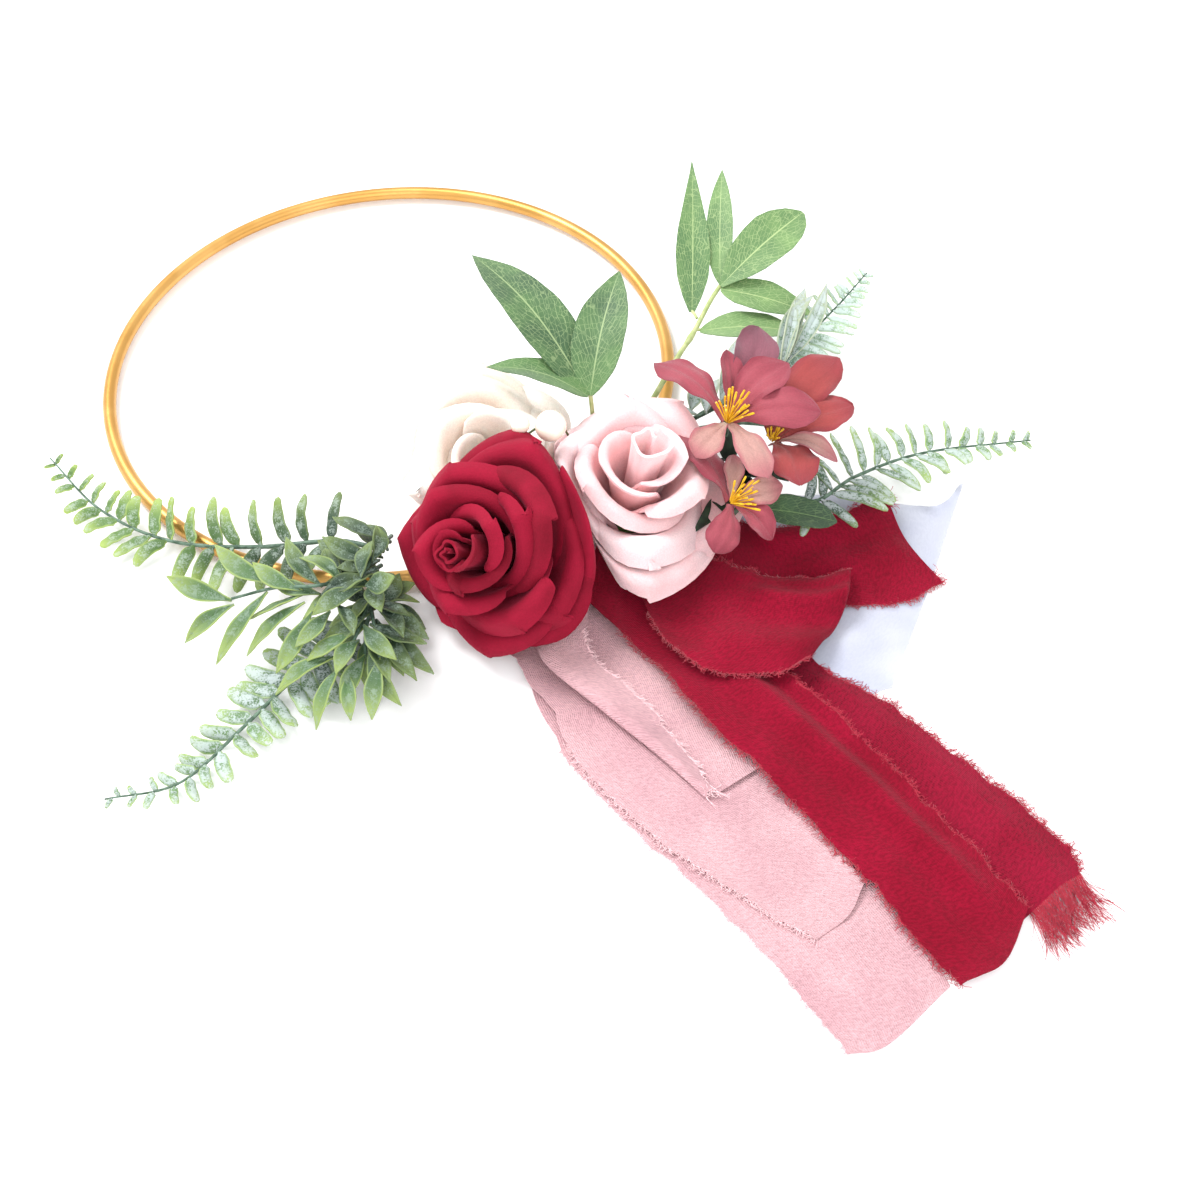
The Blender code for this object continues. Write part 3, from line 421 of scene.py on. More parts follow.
class Shape:
    """Collects the surfaces of one piece, and then makes its object."""

    def __init__(self):
        self.points = []
        self.faces = []
        self.slots = []
        self.uv = []
        self.make_rows = []
        self.count = 0

    def _add(self, points, uv, tint, along, blade):
        points = np.asarray(points, float).reshape(-1, 3)
        start = self.count
        self.count += len(points)
        self.points.append(points)
        self.uv.append(np.asarray(uv, float).reshape(-1, 2))
        blade = np.broadcast_to(np.asarray(blade, float).reshape(-1), (len(points),))
        along = np.broadcast_to(np.asarray(along, float).reshape(-1), (len(points),))
        rows = np.stack([np.full(len(points), tint), along, blade, np.ones(len(points))], 1)
        self.make_rows.append(rows)
        return start

    def sheet(self, grid, thickness, tint=0.5, along=0.0, uv=None, slot=0):
        """A closed thin body on a grid of points: rows run along it, and columns across it."""
        grid = np.asarray(grid, float)
        m, n = grid.shape[:2]
        down = np.gradient(grid, axis=0)
        side = np.gradient(grid, axis=1)
        normal = np.cross(side, down)
        length = np.linalg.norm(normal, axis=2, keepdims=True)
        mean = normal.mean(axis=(0, 1))
        mean = mean / max(np.linalg.norm(mean), 1e-12)
        normal = np.where(length > 1e-13, normal / np.maximum(length, 1e-13), mean)
        half = np.broadcast_to(np.asarray(thickness, float) / 2, (m, n))[..., None]
        u, v = np.meshgrid(np.linspace(0, 1, n), np.linspace(0, 1, m))
        own = np.stack([u, v], 2) if uv is None else np.asarray(uv, float)
        top = self._add(grid + normal * half, own, tint, along, v)
        low = self._add(grid - normal * half, own, tint, along, v)
        for i in range(m - 1):
            for j in range(n - 1):
                a, b, c, d = i * n + j, i * n + j + 1, (i + 1) * n + j + 1, (i + 1) * n + j
                self.faces.append((top + a, top + b, top + c, top + d))
                self.faces.append((low + d, low + c, low + b, low + a))
                self.slots += [slot, slot]
        rim = [(0, j) for j in range(n)] + [(i, n - 1) for i in range(1, m)]
        rim += [(m - 1, j) for j in range(n - 2, -1, -1)] + [(i, 0) for i in range(m - 2, 0, -1)]
        for (i, j), (k, l) in zip(rim, rim[1:] + rim[:1]):
            a, b = i * n + j, k * n + l
            self.faces.append((top + b, top + a, low + a, low + b))
            self.slots.append(slot)

    def tube(self, path, radius, sides=8, tint=0.5, along=None, slot=0):
        """A round body along a path, closed at both ends; radius is one number or one for each point."""
        path = np.asarray(path, float)
        k = len(path)
        radius = np.broadcast_to(np.asarray(radius, float), (k,))
        tangent = np.gradient(path, axis=0)
        tangent /= np.maximum(np.linalg.norm(tangent, axis=1, keepdims=True), 1e-12)
        first = np.cross(tangent[0], UP)
        if np.linalg.norm(first) < 1e-4:
            first = np.cross(tangent[0], [1.0, 0, 0])
        first = unit(first)
        turns = np.arange(sides) * 2 * math.pi / sides
        rings = []
        for i in range(k):
            first = unit(first - first.dot(tangent[i]) * tangent[i])
            second = np.cross(tangent[i], first)
            ring = np.outer(np.cos(turns), first) + np.outer(np.sin(turns), second)
            rings.append(path[i] + ring * radius[i])
        part = np.repeat(np.linspace(0, 1, k), sides)
        uv = np.stack([np.tile(np.arange(sides) / sides, k), part], 1)
        along = part if along is None else np.repeat(np.broadcast_to(along, (k,)), sides)
        start = self._add(np.concatenate(rings), uv, tint, along, part)
        for i in range(k - 1):
            for j in range(sides):
                a, b = start + i * sides + j, start + i * sides + (j + 1) % sides
                self.faces.append((a, b, b + sides, a + sides))
                self.slots.append(slot)
        self.faces.append(tuple(start + j for j in range(sides))[::-1])
        self.faces.append(tuple(start + (k - 1) * sides + j for j in range(sides)))
        self.slots += [slot, slot]

    def make(self, name, paints, body, replaced=(), slot=None, matrix=None):
        points = np.concatenate(self.points)
        if matrix is not None:
            spin = np.array(matrix)
            points = points @ spin[:3, :3].T + spin[:3, 3]
        mesh = bpy.data.meshes.new(name)
        mesh.from_pydata(points.tolist(), [], self.faces)
        uv = np.concatenate(self.uv)
        corners = np.zeros(len(mesh.loops), np.int32)
        mesh.loops.foreach_get("vertex_index", corners)
        layer = mesh.uv_layers.new(name="UVMap")
        layer.data.foreach_set("uv", uv[corners].astype(np.float32).ravel())
        colour = mesh.color_attributes.new("make", "FLOAT_COLOR", "POINT")
        colour.data.foreach_set("color", np.concatenate(self.make_rows).astype(np.float32).ravel())
        for paint in paints:
            mesh.materials.append(PAINTS[paint])
        mesh.polygons.foreach_set("material_index", np.array(self.slots, np.int32))
        bm = bmesh.new()
        bm.from_mesh(mesh)
        bmesh.ops.recalc_face_normals(bm, faces=bm.faces)
        bm.to_mesh(mesh)
        bm.free()
        mesh.shade_smooth()
        mesh.set_sharp_from_angle(angle=math.radians(55))
        thing = bpy.data.objects.new(name, mesh)
        bpy.context.collection.objects.link(thing)
        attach(thing, body)
        if replaced:
            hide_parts(*replaced)
        return thing


def spline(points, count):
    """Points at even distances along a smooth curve through the given ones."""
    points = np.asarray(points, float)
    ends = np.vstack([2 * points[0] - points[1], points, 2 * points[-1] - points[-2]])
    t = np.linspace(0, 1, 12, endpoint=False)[:, None]
    fine = []
    for a, b, c, d in zip(ends, ends[1:], ends[2:], ends[3:]):
        fine.append(
            0.5 * (2 * b + (c - a) * t + (2 * a - 5 * b + 4 * c - d) * t**2 + (3 * b - a - 3 * c + d) * t**3)
        )
    fine = np.vstack([*fine, points[-1:]])
    return resample(fine, count)


def resample(fine, count):
    lengths = np.concatenate([[0], np.cumsum(np.linalg.norm(np.diff(fine, axis=0), axis=1))])
    spots = np.linspace(0, lengths[-1], count)
    return np.stack([np.interp(spots, lengths, fine[:, k]) for k in range(fine.shape[1])], 1)


# Outlines of leaves and petals: places from the base to the tip, and how wide the blade is at each
LEAF_PLACES = [0, 0.08, 0.2, 0.35, 0.5, 0.65, 0.8, 0.92, 1.0]
POINTED = (LEAF_PLACES, [0.10, 0.26, 0.62, 0.90, 1.0, 0.93, 0.64, 0.27, 0.02])
LANCE = (LEAF_PLACES, [0.16, 0.52, 0.90, 1.0, 0.88, 0.62, 0.36, 0.14, 0.02])
OVAL = (LEAF_PLACES, [0.10, 0.30, 0.62, 0.86, 0.98, 1.0, 0.86, 0.55, 0.10])
BROAD = (
    [0, 0.06, 0.18, 0.33, 0.5, 0.66, 0.8, 0.92, 1.0],
    [0.12, 0.46, 0.82, 0.99, 1.0, 0.86, 0.60, 0.28, 0.02],
)
SLIM = (
    [0, 0.1, 0.25, 0.42, 0.58, 0.72, 0.86, 0.95, 1.0],
    [0.10, 0.24, 0.62, 0.95, 1.0, 0.82, 0.48, 0.18, 0.02],
)
PETAL = (
    [0, 0.1, 0.25, 0.4, 0.55, 0.7, 0.84, 0.94, 1.0],
    [0.20, 0.26, 0.48, 0.78, 0.97, 1.0, 0.84, 0.50, 0.06],
)
LEAFLET = (
    [0, 0.05, 0.12, 0.25, 0.45, 0.65, 0.82, 0.94, 1.0],
    [0.20, 0.28, 0.80, 0.98, 1.0, 0.95, 0.84, 0.62, 0.22],
)


def blade(
    shape, base, tip, width, outline=POINTED, up=UP, roll=0.0, arch=0.08, fold=0.22, bend=0.0, wave=0.0,
    ribs=0.0, thickness=0.5, rows=12, cols=7, tint=0.5, along=0.0, slot=0, cup=0.0, crease=0.0,
):
    """A leaf or petal from base to tip, in metres; its thickness, ribs and crease are in millimetres."""
    base, tip = np.asarray(base, float), np.asarray(tip, float)
    axis = tip - base
    length = np.linalg.norm(axis)
    ahead = axis / length
    side = np.cross(up, ahead)
    if np.linalg.norm(side) < 1e-3:
        side = np.cross([0.0, 1.0, 0.0], ahead)
    side = unit(side)
    spin = Matrix.Rotation(roll, 3, Vector(ahead))
    side = np.array(spin @ Vector(side))
    normal = np.cross(ahead, side)
    t = np.linspace(0, 1, rows)
    half = width / 2 * np.interp(t, *outline)
    u = np.linspace(-1, 1, cols)
    hump = np.sin(math.pi * t)
    middle = base + np.outer(t, axis) + np.outer(arch * length * hump, normal)
    middle = middle + np.outer(bend * length * hump, side)
    grid = middle[:, None, :] + half[:, None, None] * u[None, :, None] * side * math.cos(fold)
    lift = np.abs(u) ** 1.3 * math.sin(fold) + cup * u**2
    raised = half[:, None] * lift[None, :]
    ripple = wave * width * np.outer(np.sin(t * 17.0 + tint * 20.0), u * np.abs(u))
    rib = ribs * MM * np.outer(np.sin(t * 38.0 + tint * 9), 1 - np.abs(u))
    fine = np.outer(np.sin(math.pi * t) ** 0.6, np.cos(u * 9.0 + tint * 6))
    fine = fine + np.sin(7 * t + 9 * tint)[:, None] * 0.6 * np.cos(u * 5.0 + 4 * t[:, None])
    fine = fine - 1.2 * np.exp(-((u / 0.10) ** 2))[None, :] * np.sin(math.pi * t)[:, None]
    grid = grid + (raised + ripple + rib + crease * MM * fine)[..., None] * normal
    thick = np.full((rows, cols), thickness * MM)
    thick[-1] *= 0.5
    thick[:, 0] *= 0.6
    thick[:, -1] *= 0.6
    shape.sheet(grid, thick, tint, along, slot=slot)


# ---------------------------------------------------------------- hoop


def hoop():
    shape = Shape()
    steps, sides = 240, 20
    turns = np.linspace(0, 2 * math.pi, steps, endpoint=False)
    around = np.linspace(0, 2 * math.pi, sides, endpoint=False)
    radius = HOOP_RADIUS + TUBE_RADIUS * np.cos(around)
    height = HOOP_CENTRE.z + TUBE_RADIUS * np.sin(around)
    x = HOOP_CENTRE.x + np.outer(np.cos(turns), radius)
    y = HOOP_CENTRE.y + np.outer(np.sin(turns), radius)
    z = np.broadcast_to(height, x.shape)
    uv = np.stack(np.meshgrid(around, turns), 2)
    start = shape._add(np.stack([x, y, z], 2), uv, 0.5, 0.0, 0.0)
    for i in range(steps):
        for j in range(sides):
            k, l = (i + 1) % steps, (j + 1) % sides
            corners = (i * sides + j, k * sides + j, k * sides + l, i * sides + l)
            shape.faces.append(tuple(start + corner for corner in corners))
            shape.slots.append(0)
    shape.make("hoop", ["gold"], "hoop", ["hoop_ring"], "gold")


# ---------------------------------------------------------------- roses


FOAM = 1.2 * MM
ROSE_HEIGHT_OFF_TABLE = 11.0 * MM


class Whorl(NamedTuple):
    """One ring of foam petals; its sizes are in parts of the rose's radius, and its turn in radians."""

    count: int
    rim: float
    height: float
    width: float
    roll: float
    curl: float
    turn: float
    slope: tuple


def foam_petal(shape, radius, whorl, turn, chance, offset):
    """A foam petal: a cupped sheet whose rim is rolled outwards along two edges that meet in a corner."""
    floor = -0.50 * radius
    rim = whorl.rim * radius * (1 + chance.uniform(-0.05, 0.05))
    rise = (whorl.height + chance.uniform(-0.05, 0.05)) * radius - floor
    length = math.hypot(rim, rise) * 1.05
    width = whorl.width * radius * (1 + chance.uniform(-0.06, 0.06))
    corner = chance.uniform(-0.24, 0.24) * width
    leans = (chance.uniform(*whorl.slope), chance.uniform(*whorl.slope))
    rolls = [whorl.roll * radius * chance.uniform(0.82, 1.15) for _ in leans]
    curl = whorl.curl * radius * chance.uniform(0.9, 1.1)
    spiral = chance.uniform(0.10, 0.16) * radius
    rows, cols = 22, 23
    u = np.sin(np.linspace(-1, 1, cols) * math.pi / 2)[None, :]
    v = (1 - (1 - np.linspace(0, 1, rows)) ** 1.45)[:, None]
    wide = width / 2 * (0.42 + 0.58 * np.sin(np.minimum(1.0, v / 0.6) * math.pi / 2))
    x = u * wide
    lean = np.where(x < corner, leans[0], leans[1])
    y = v * (length - lean * np.abs(x - corner) - 0.07 * length * np.abs(u) ** 6)
    past, across, climb = [], [], []
    for sign, lean, roll in ((-1, leans[0], rolls[0]), (1, leans[1], rolls[1])):
        size = math.hypot(1, lean)
        distance = (corner - x) * sign * lean / size + (length - y) / size
        past.append(roll - distance)
        across.append(sign * lean / size)
        climb.append(1 / size)
    for sign in (-1, 1):
        past.append(rolls[0] * 0.32 - (wide - sign * x))
        across.append(float(sign))
        climb.append(0.0)
    past = np.maximum(np.stack(past), 0.0) * np.clip((v - 0.2) / 0.3, 0, 1)[None]
    weight = past**6 + 1e-50
    total = weight.sum(axis=0)
    nx = (weight * np.array(across)[:, None, None]).sum(axis=0) / total
    ny = (weight * np.array(climb)[:, None, None]).sum(axis=0) / total
    size = np.maximum(np.hypot(nx, ny), 1e-9)
    nx, ny = nx / size, ny / size
    over = (past**6).sum(axis=0) ** (1 / 6)
    sx, sy = x - nx * over, y - ny * over
    t = np.clip(sy / length, 0.0, 1.0)
    r = rim * (0.10 + 0.75 * np.sqrt(t) + 0.15 * t**4)
    z = floor + rise * t**1.25
    slope_r = rim * (0.375 / np.sqrt(np.maximum(t, 0.02)) + 0.6 * t**3)
    slope_z = rise * 1.25 * np.maximum(t, 0.02) ** 0.25
    steep = np.hypot(slope_r, slope_z)
    mr, mz = slope_r / steep, slope_z / steep
    angle = turn + sx / np.maximum(r, 0.5 * rim)
    r = r + spiral * (sx / width)
    bent = np.minimum(over / curl, whorl.turn)
    flat = over - bent * curl
    ahead = curl * np.sin(bent) + flat * np.cos(bent)
    outward = curl * (1 - np.cos(bent)) + flat * np.sin(bent)
    radial = r + ny * ahead * mr + outward * mz
    round_ = nx * ahead
    height = z + ny * ahead * mz - outward * mr
    shift = offset * (1 - whorl.rim) * radius
    grid = np.stack(
        [
            shift[0] + np.cos(angle) * radial - np.sin(angle) * round_,
            shift[1] + np.sin(angle) * radial + np.cos(angle) * round_,
            height,
        ],
        2,
    )
    shape.sheet(grid, FOAM, chance.random(), 0.0)


def bud(shape, radius, chance, offset, size, wraps):
    """The rolled, squared strip in the middle of a rose."""
    rows, cols = 9, 60
    turns = np.linspace(0, 2 * math.pi * wraps, cols)
    around = (0.018 + 0.0082 * turns) * radius * size
    around = around * (1 + 0.11 * np.cos(4 * turns + 0.6))
    heights = np.linspace(-0.30, 0.50, rows)
    grid = np.zeros((rows, cols, 3))
    for i, h in enumerate(heights):
        part = i / (rows - 1)
        lip = (1 + 0.12 * part**4) * (0.75 + 0.25 * part)
        grid[i, :, 0] = around * np.cos(turns) * lip + offset[0] * radius
        grid[i, :, 1] = around * np.sin(turns) * lip + offset[1] * radius
        wavy = h - 0.05 * part * np.linspace(0, 1, cols) + 0.015 * part * np.cos(4 * turns)
        grid[i, :, 2] = wavy * radius
    shape.sheet(grid, 1.1 * MM, chance.random())


def press(points, planes):
    """Moves points that are past a plane back to it, as foam gives where a neighbour presses on it."""
    for point, normal, softness in planes:
        past = (points - point) @ normal
        eased = -softness * np.logaddexp(0.0, -past / softness)
        points = points + np.outer(eased - past, normal)
    return points


FULL_ROSE = [
    Whorl(2, 0.165, 0.50, 0.42, 0.06, 0.030, 1.2, (0.3, 0.55)),
    Whorl(3, 0.29, 0.53, 0.68, 0.14, 0.045, 1.8, (0.45, 0.75)),
    Whorl(3, 0.46, 0.50, 1.00, 0.19, 0.060, 2.0, (0.45, 0.75)),
    Whorl(4, 0.66, 0.37, 1.06, 0.22, 0.070, 2.0, (0.45, 0.75)),
    Whorl(4, 0.87, 0.12, 1.34, 0.25, 0.080, 2.0, (0.4, 0.7)),
    Whorl(5, 0.98, -0.20, 1.24, 0.24, 0.085, 1.7, (0.35, 0.6)),
]
OPEN_ROSE = [
    Whorl(2, 0.33, 0.40, 0.92, 0.09, 0.045, 1.2, (0.25, 0.45)),
    Whorl(3, 0.52, 0.50, 1.30, 0.20, 0.065, 1.9, (0.45, 0.75)),
    Whorl(3, 0.74, 0.38, 1.66, 0.28, 0.085, 1.9, (0.45, 0.7)),
    Whorl(5, 0.96, 0.02, 1.34, 0.29, 0.095, 1.8, (0.4, 0.65)),
]


def rose(
    name, centre, axis, radius, seed, turn, planes, whorls, offset, heart=1.0, wraps=1.9
):
    """A foam rose: whorls round a bud, pressed where its neighbours and the ribbons under it are."""
    chance = random.Random(seed)
    shape = Shape()
    offset = np.array(offset)
    bud(shape, radius, chance, offset, heart, wraps)
    start = turn
    for whorl in whorls:
        step = 2 * math.pi / whorl.count
        start += step * 0.5 + chance.uniform(-0.3, 0.3)
        for k in range(whorl.count):
            turned = start + k * step + chance.uniform(-0.12, 0.12) * step
            foam_petal(shape, radius, whorl, turned, chance, offset)
    tilt = Vector((0, 0, 1)).rotation_difference(Vector(axis).normalized()).to_matrix().to_4x4()
    spin = np.array(Matrix.Translation(Vector(centre)) @ tilt)
    points = np.concatenate(shape.points) @ spin[:3, :3].T + spin[:3, 3]
    under = (ANCHOR + UP * ROSE_HEIGHT_OFF_TABLE, -UP, 0.0012)
    shape.points = [press(points, [*planes, under])]
    replaced = [f"{name}_{part}" for part in ("outer_petals", "middle_petals", "inner_petals", "heart")]
    colour = name.removeprefix("rose_")
    thing = shape.make(f"{name}_petals", [f"{colour} foam"], "hoop", replaced, f"foam_{colour}")


def roses():
    burgundy = np.array([*at(-30, -49, 42)])
    pink = np.array([*at(22, -20, 37)])
    ivory = np.array([*at(-40, 6, 35)])
    to_pink = unit([0.93, 0.37, -0.04])
    to_ivory = unit(ivory - burgundy)
    across = unit(ivory - pink)
    touch_pink = burgundy + to_pink * 0.033
    touch_ivory = burgundy + to_ivory * 0.034
    touch = pink + across * 0.039
    flank = unit(to_pink + UP * 0.3)
    soft = 0.004
    rose(
        "rose_burgundy", burgundy + np.array([-4.0, 0.5, 0.5]) * MM, (-0.40, -0.56, 0.72), 0.0485, 11, 0.4,
        [(touch_pink, to_pink, 0.006)], FULL_ROSE, (-0.15, -0.08),
    )
    rose(
        "rose_pink", pink + np.array([-1.5, 6.0, 1.0]) * MM, (0.14, -0.24, 0.96), 0.0495, 23, 1.3,
        [(touch_pink + to_pink * 0.0015, -flank, soft), (touch, across, soft)], OPEN_ROSE, (0.08, 0.10),
        2.3, 1.15,
    )
    rose(
        "rose_ivory", ivory + np.array([2.0, 4.0, 1.0]) * MM, (0.0, -0.42, 0.91), 0.0430, 37, 2.2,
        [(touch_ivory, -unit(to_ivory + UP * 0.3), soft), (touch, -across, soft)], OPEN_ROSE,
        (0.10, -0.24), 2.2, 1.15,
    )


# ---------------------------------------------------------------- pearls


def pearls():
    for name, lift in (("pearl_large", UP), ("pearl_small", np.array([-1.0, 4.0, 2.5]))):
        low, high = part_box(name)
        centre = np.array((low + high) / 2) + lift * MM
        radius = (high.z - low.z) / 2
        shape = Shape()
        turns = np.linspace(0, math.pi, 25)
        path = centre + np.outer(-np.cos(turns), UP) * radius
        shape.tube(path, np.maximum(np.sin(turns), 0.02) * radius, sides=32)
        shape.make(name + "_bead", ["pearl"], "pearl_pick", [name], "pearl")
    shape = Shape()
    shape.tube(spline([at(0, 5, 13.2), at(-1, 12, 28), at(-6, 10, 46), at(-10, -3, 57)], 24), 0.5 * MM, 8)
    shape.tube(spline([at(-8, 5, 51), at(-14, 1, 55), at(-20, -6, 57)], 14), 0.5 * MM, 8)
    shape.make("pearl_wires", ["wire"], "pearl_pick", ["pearl_wire"], "wire")


# ---------------------------------------------------------------- fronds


def fern(
    name, points, pairs, bare, longest, seed, paint="frond", width=4.9, rachis=1.15, upright=0.0, gap=0.62
):
    """A frond: pairs of leaflets along a stem; gap is a leaflet's width as a share of their spacing."""
    """A moulded fern frond with blunt, ribbed leaflets on short necks; those to its left can stand up."""
    chance = random.Random(seed)
    path = spline([at(*p) for p in points], 60)
    total = np.linalg.norm(np.diff(path, axis=0), axis=1).sum()
    shape = Shape()
    t = np.linspace(0, 1, 60)
    knobs = 1 + 0.08 * np.sin(t * 140)
    shape.tube(path, (rachis - (rachis - 0.35) * t) * MM * knobs, 8, 0.2, t * 0.8, slot=1)
    spacing = (1 - bare) / pairs
    for k in range(pairs):
        part = k / pairs
        for hand in (1, -1):
            where = bare + spacing * (k + 0.35 + (0.22 if hand > 0 else 0) + chance.uniform(-0.16, 0.16))
            i = min(where, 0.995) * 59
            low = int(i)
            root = path[low] + (path[min(low + 1, 59)] - path[low]) * (i - low)
            tangent = unit(path[min(low + 1, 59)] - path[max(low - 1, 0)])
            side = unit(np.cross(UP, tangent)) * hand
            reach = longest * max(0.18, (1 - part) ** 0.70 * min(1.0, 0.74 + 2.2 * part))
            reach *= 1 + chance.uniform(-0.13, 0.10)
            lean = math.radians(10 + 20 * part + chance.uniform(-13, 13))
            stands = upright if side[1] > 0 else -0.05
            lift = chance.uniform(-0.08, 0.14) + stands
            ahead = unit(side * math.cos(lean) + tangent * math.sin(lean) + UP * lift)
            base = root + side * 0.4 * MM
            tip = base + ahead * reach
            tip[2] = max(tip[2], 1.2 * MM)
            wide = min(width * MM * chance.uniform(0.9, 1.08), total * spacing * gap, reach * 0.42)
            turned = chance.uniform(-0.45, 0.45) + (0.5 * hand if side[1] > 0 else -0.15 * hand)
            blade(
                shape, base, tip, wide, LEAFLET, roll=turned, arch=chance.uniform(-0.02, 0.08), fold=-0.16,
                bend=-0.08 * hand + chance.uniform(-0.04, 0.04), wave=0.05, ribs=0.28, thickness=1.0, rows=16,
                cols=7, tint=chance.random(), along=part,
            )
    shape.make(name + "_frond", [paint, "dark stem"], body_of(name), [name], "frosted_plastic")


def body_of(node):
    return NODES[node]["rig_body"]


def ferns():
    upper = [(-79, -28, 17), (-99, -19, 14), (-132, -18, 11), (-168, -12, 10), (-200, 9, 8), (-226, 41, 7)]
    fern("fern_left_upper", upper, 16, 0.12, 0.0265, 5, width=5.8, upright=0.35)
    lower = [(-80, -38, 9), (-89, -60, 10.5), (-113, -86, 9), (-131, -106, 6), (-152, -129, 5)]
    lower.append((-179, -135, 5))
    fern("fern_left_lower", lower, 16, 0.18, 0.0235, 6, "snowy frond", 7.4, gap=0.92)
    right = [(42.5, 24, 11), (70.5, -2, 15), (94.5, -10, 17), (114.5, 7, 13), (145.5, 23, 9), (191.5, 29, 8)]
    fern("fern_right", right, 17, 0.34, 0.0265, 7, "snowy frond", 5.6, upright=0.2)
    top = [(42.5, 38, 14), (72.5, 58, 18), (92.5, 74, 21), (116.5, 104, 20), (132.5, 126, 20)]
    fern("fern_top", top, 18, 0.34, 0.0235, 8, "mint frond", 4.3, 0.9, gap=0.8)


# ---------------------------------------------------------------- sprays


def spray(node, stems, leaves, paint, seed, outline=SLIM):
    """Stems, each a list of places, and a table of pointed leaves, with widths in millimetres."""
    chance = random.Random(seed)
    shape = Shape()
    for stem in stems:
        path = spline([at(*p) for p in stem], 18)
        shape.tube(path, np.linspace(0.95, 0.55, 18) * MM, 7, 0.3, 0.3, slot=1)
    for base, tip, width in leaf_rows(leaves):
        base, tip = at(*base), at(*tip)
        # Leaves nearer the roses get more of the dark colour: painted shade from the roses.
        reach = np.linalg.norm(tip - at(-40, -30, 30)) * 1000
        part = min(max((reach - 58) / 66, 0.0), 1.0)
        blade(
            shape, base, tip, width * MM, outline, roll=chance.uniform(-0.6, 0.6),
            arch=chance.uniform(0.02, 0.14), fold=chance.uniform(0.15, 0.45),
            bend=chance.uniform(-0.09, 0.09), wave=0.03, thickness=0.8,
            rows=16, cols=9, tint=chance.random(), along=part, crease=0.12,
        )
    shape.make(node + "_leaves", [paint, "dark stem"], body_of(node), [node], "frosted_plastic")


def sprays():
    left = """
        -136 -57 24 -162 -46 27 8.5, -135 -59 24 -154 -72 17 7, -122 -55 26 -142 -79 12 8,
        -108 -58 27 -130 -62 18 7.5, -119 -52 27 -144 -33 30 8, -108 -57 28 -128 -44 31 7.5,
        -100 -57 30 -115 -35 35 7.5, -91 -60 33 -109 -46 35 7.5, -107 -61 26 -130 -77 14 8,
        -104 -66 26 -118 -86 14 8, -100 -62 31 -82 -57 35 7.5, -94 -66 30 -87 -80 28 7,
        -101 -58 27 -120 -50 24 7, -97 -66 26 -110 -80 22 7.5, -92 -56 30 -100 -38 31 7.5,
        -90 -52 27 -104 -30 27 7.5, -87 -48 25 -98 -60 22 7, -90 -54 28 -108 -66 22 7"""
    stems = [
        [(-80, -34, 15), (-85, -46, 24), (-101, -57, 31), (-119, -54, 27), (-136, -57, 25)],
        [(-84, -46, 24), (-94, -60, 29), (-103, -64, 27)],
    ]
    spray("leaf_spray_left", stems, left, "spray", 31)
    high = """
        -79 -49 36 -100 -39 39 8, -77 -39 36 -97 -27 37 8.5, -80 -52 38 -79 -36 41 7, -84 -60 38 -80 -44 41 8,
        -82 -64 38 -70 -67 46 9, -84 -62 34 -103 -71 30 7.5, -78 -46 32 -94 -53 36 7.5,
        -78 -42 30 -89 -28 30 7.5, -76 -36 26 -87 -20 24 8, -78 -54 34 -92 -64 34 7.5,
        -80 -58 32 -76 -74 34 8, -79 -46 26 -92 -44 24 7.5, -80 -50 28 -75 -60 34 7.5,
        -78 -38 24 -95 -36 20 8, -80 -56 28 -100 -52 26 7.5"""
    stems = [
        [(-76, -22, 19), (-76, -34, 30), (-79, -46, 36), (-84, -60, 38)],
        [(-75, -34, 29), (-77, -39, 34)],
    ]
    spray("leaf_spray_high", stems, high, "spray", 32)
    low = """
        -94 -82 18 -118 -94 11 8, -93 -85 16 -102 -109 8 7.5, -90 -88 15 -89 -106 9 6.5,
        -78 -84 19 -81 -106 9 8, -88 -74 22 -106 -84 18 8, -84 -72 24 -71 -88 22 8, -80 -62 24 -68 -82 28 8,
        -82 -70 22 -60 -79 20 8.5, -80 -66 20 -64 -92 14 9, -82 -76 18 -70 -100 9 8,
        -84 -80 16 -93 -100 12 7.5, -80 -58 18 -98 -69 20 8, -80 -64 16 -58 -86 10 9,
        -84 -66 22 -100 -76 20 8, -79 -52 16 -94 -61 14 8, -82 -60 22 -66 -70 26 8, -80 -56 14 -60 -72 14 9,
        -84 -74 16 -74 -94 16 8, -86 -76 20 -94 -92 20 7.5, -79 -62 12 -70 -84 7 9, -83 -68 14 -84 -90 8 8,
        -80 -54 20 -88 -70 24 7.5, -78 -50 12 -62 -62 8 9, -82 -62 16 -96 -80 14 8, -82 -56 14 -64 -54 15 8,
        -82 -50 13 -66 -44 15 8, -81 -58 18 -72 -42 19 8, -82 -66 12 -62 -66 12 8, -80 -48 18 -90 -34 22 8,
        -82 -54 16 -96 -44 18 8"""
    stems = [
        [(-79, -41, 12), (-83, -56, 20), (-87, -74, 21), (-93, -84, 17)],
        [(-83, -56, 19), (-80, -72, 22), (-78, -84, 19)],
        [(-82, -54, 18), (-84, -70, 18), (-84, -80, 16)],
    ]
    spray("leaf_spray_low", stems, low, "spray", 33)
    right = """
        84 36 43 103 84 45 8, 60 36 28 70 62 44 7, 90 50 45 100 91 43 7, 88 44 44 109 89 47 6.5,
        84 38 43 94 78 47 6.5, 46 38 22 40 24 28 7, 50 36 24 36 32 28 8, 48 40 22 52 52 27 8,
        44 36 20 38 42 24 7, 54 34 26 60 48 32 7.5, 66 34 34 76 58 40 8"""
    stems = [[(36.5, 36, 13), (56.5, 36, 26), (78.5, 34, 43), (88.5, 46, 45)]]
    spray("leaf_spray_right", stems, right, "pale spray", 34, POINTED)


# ---------------------------------------------------------------- fabric leaves


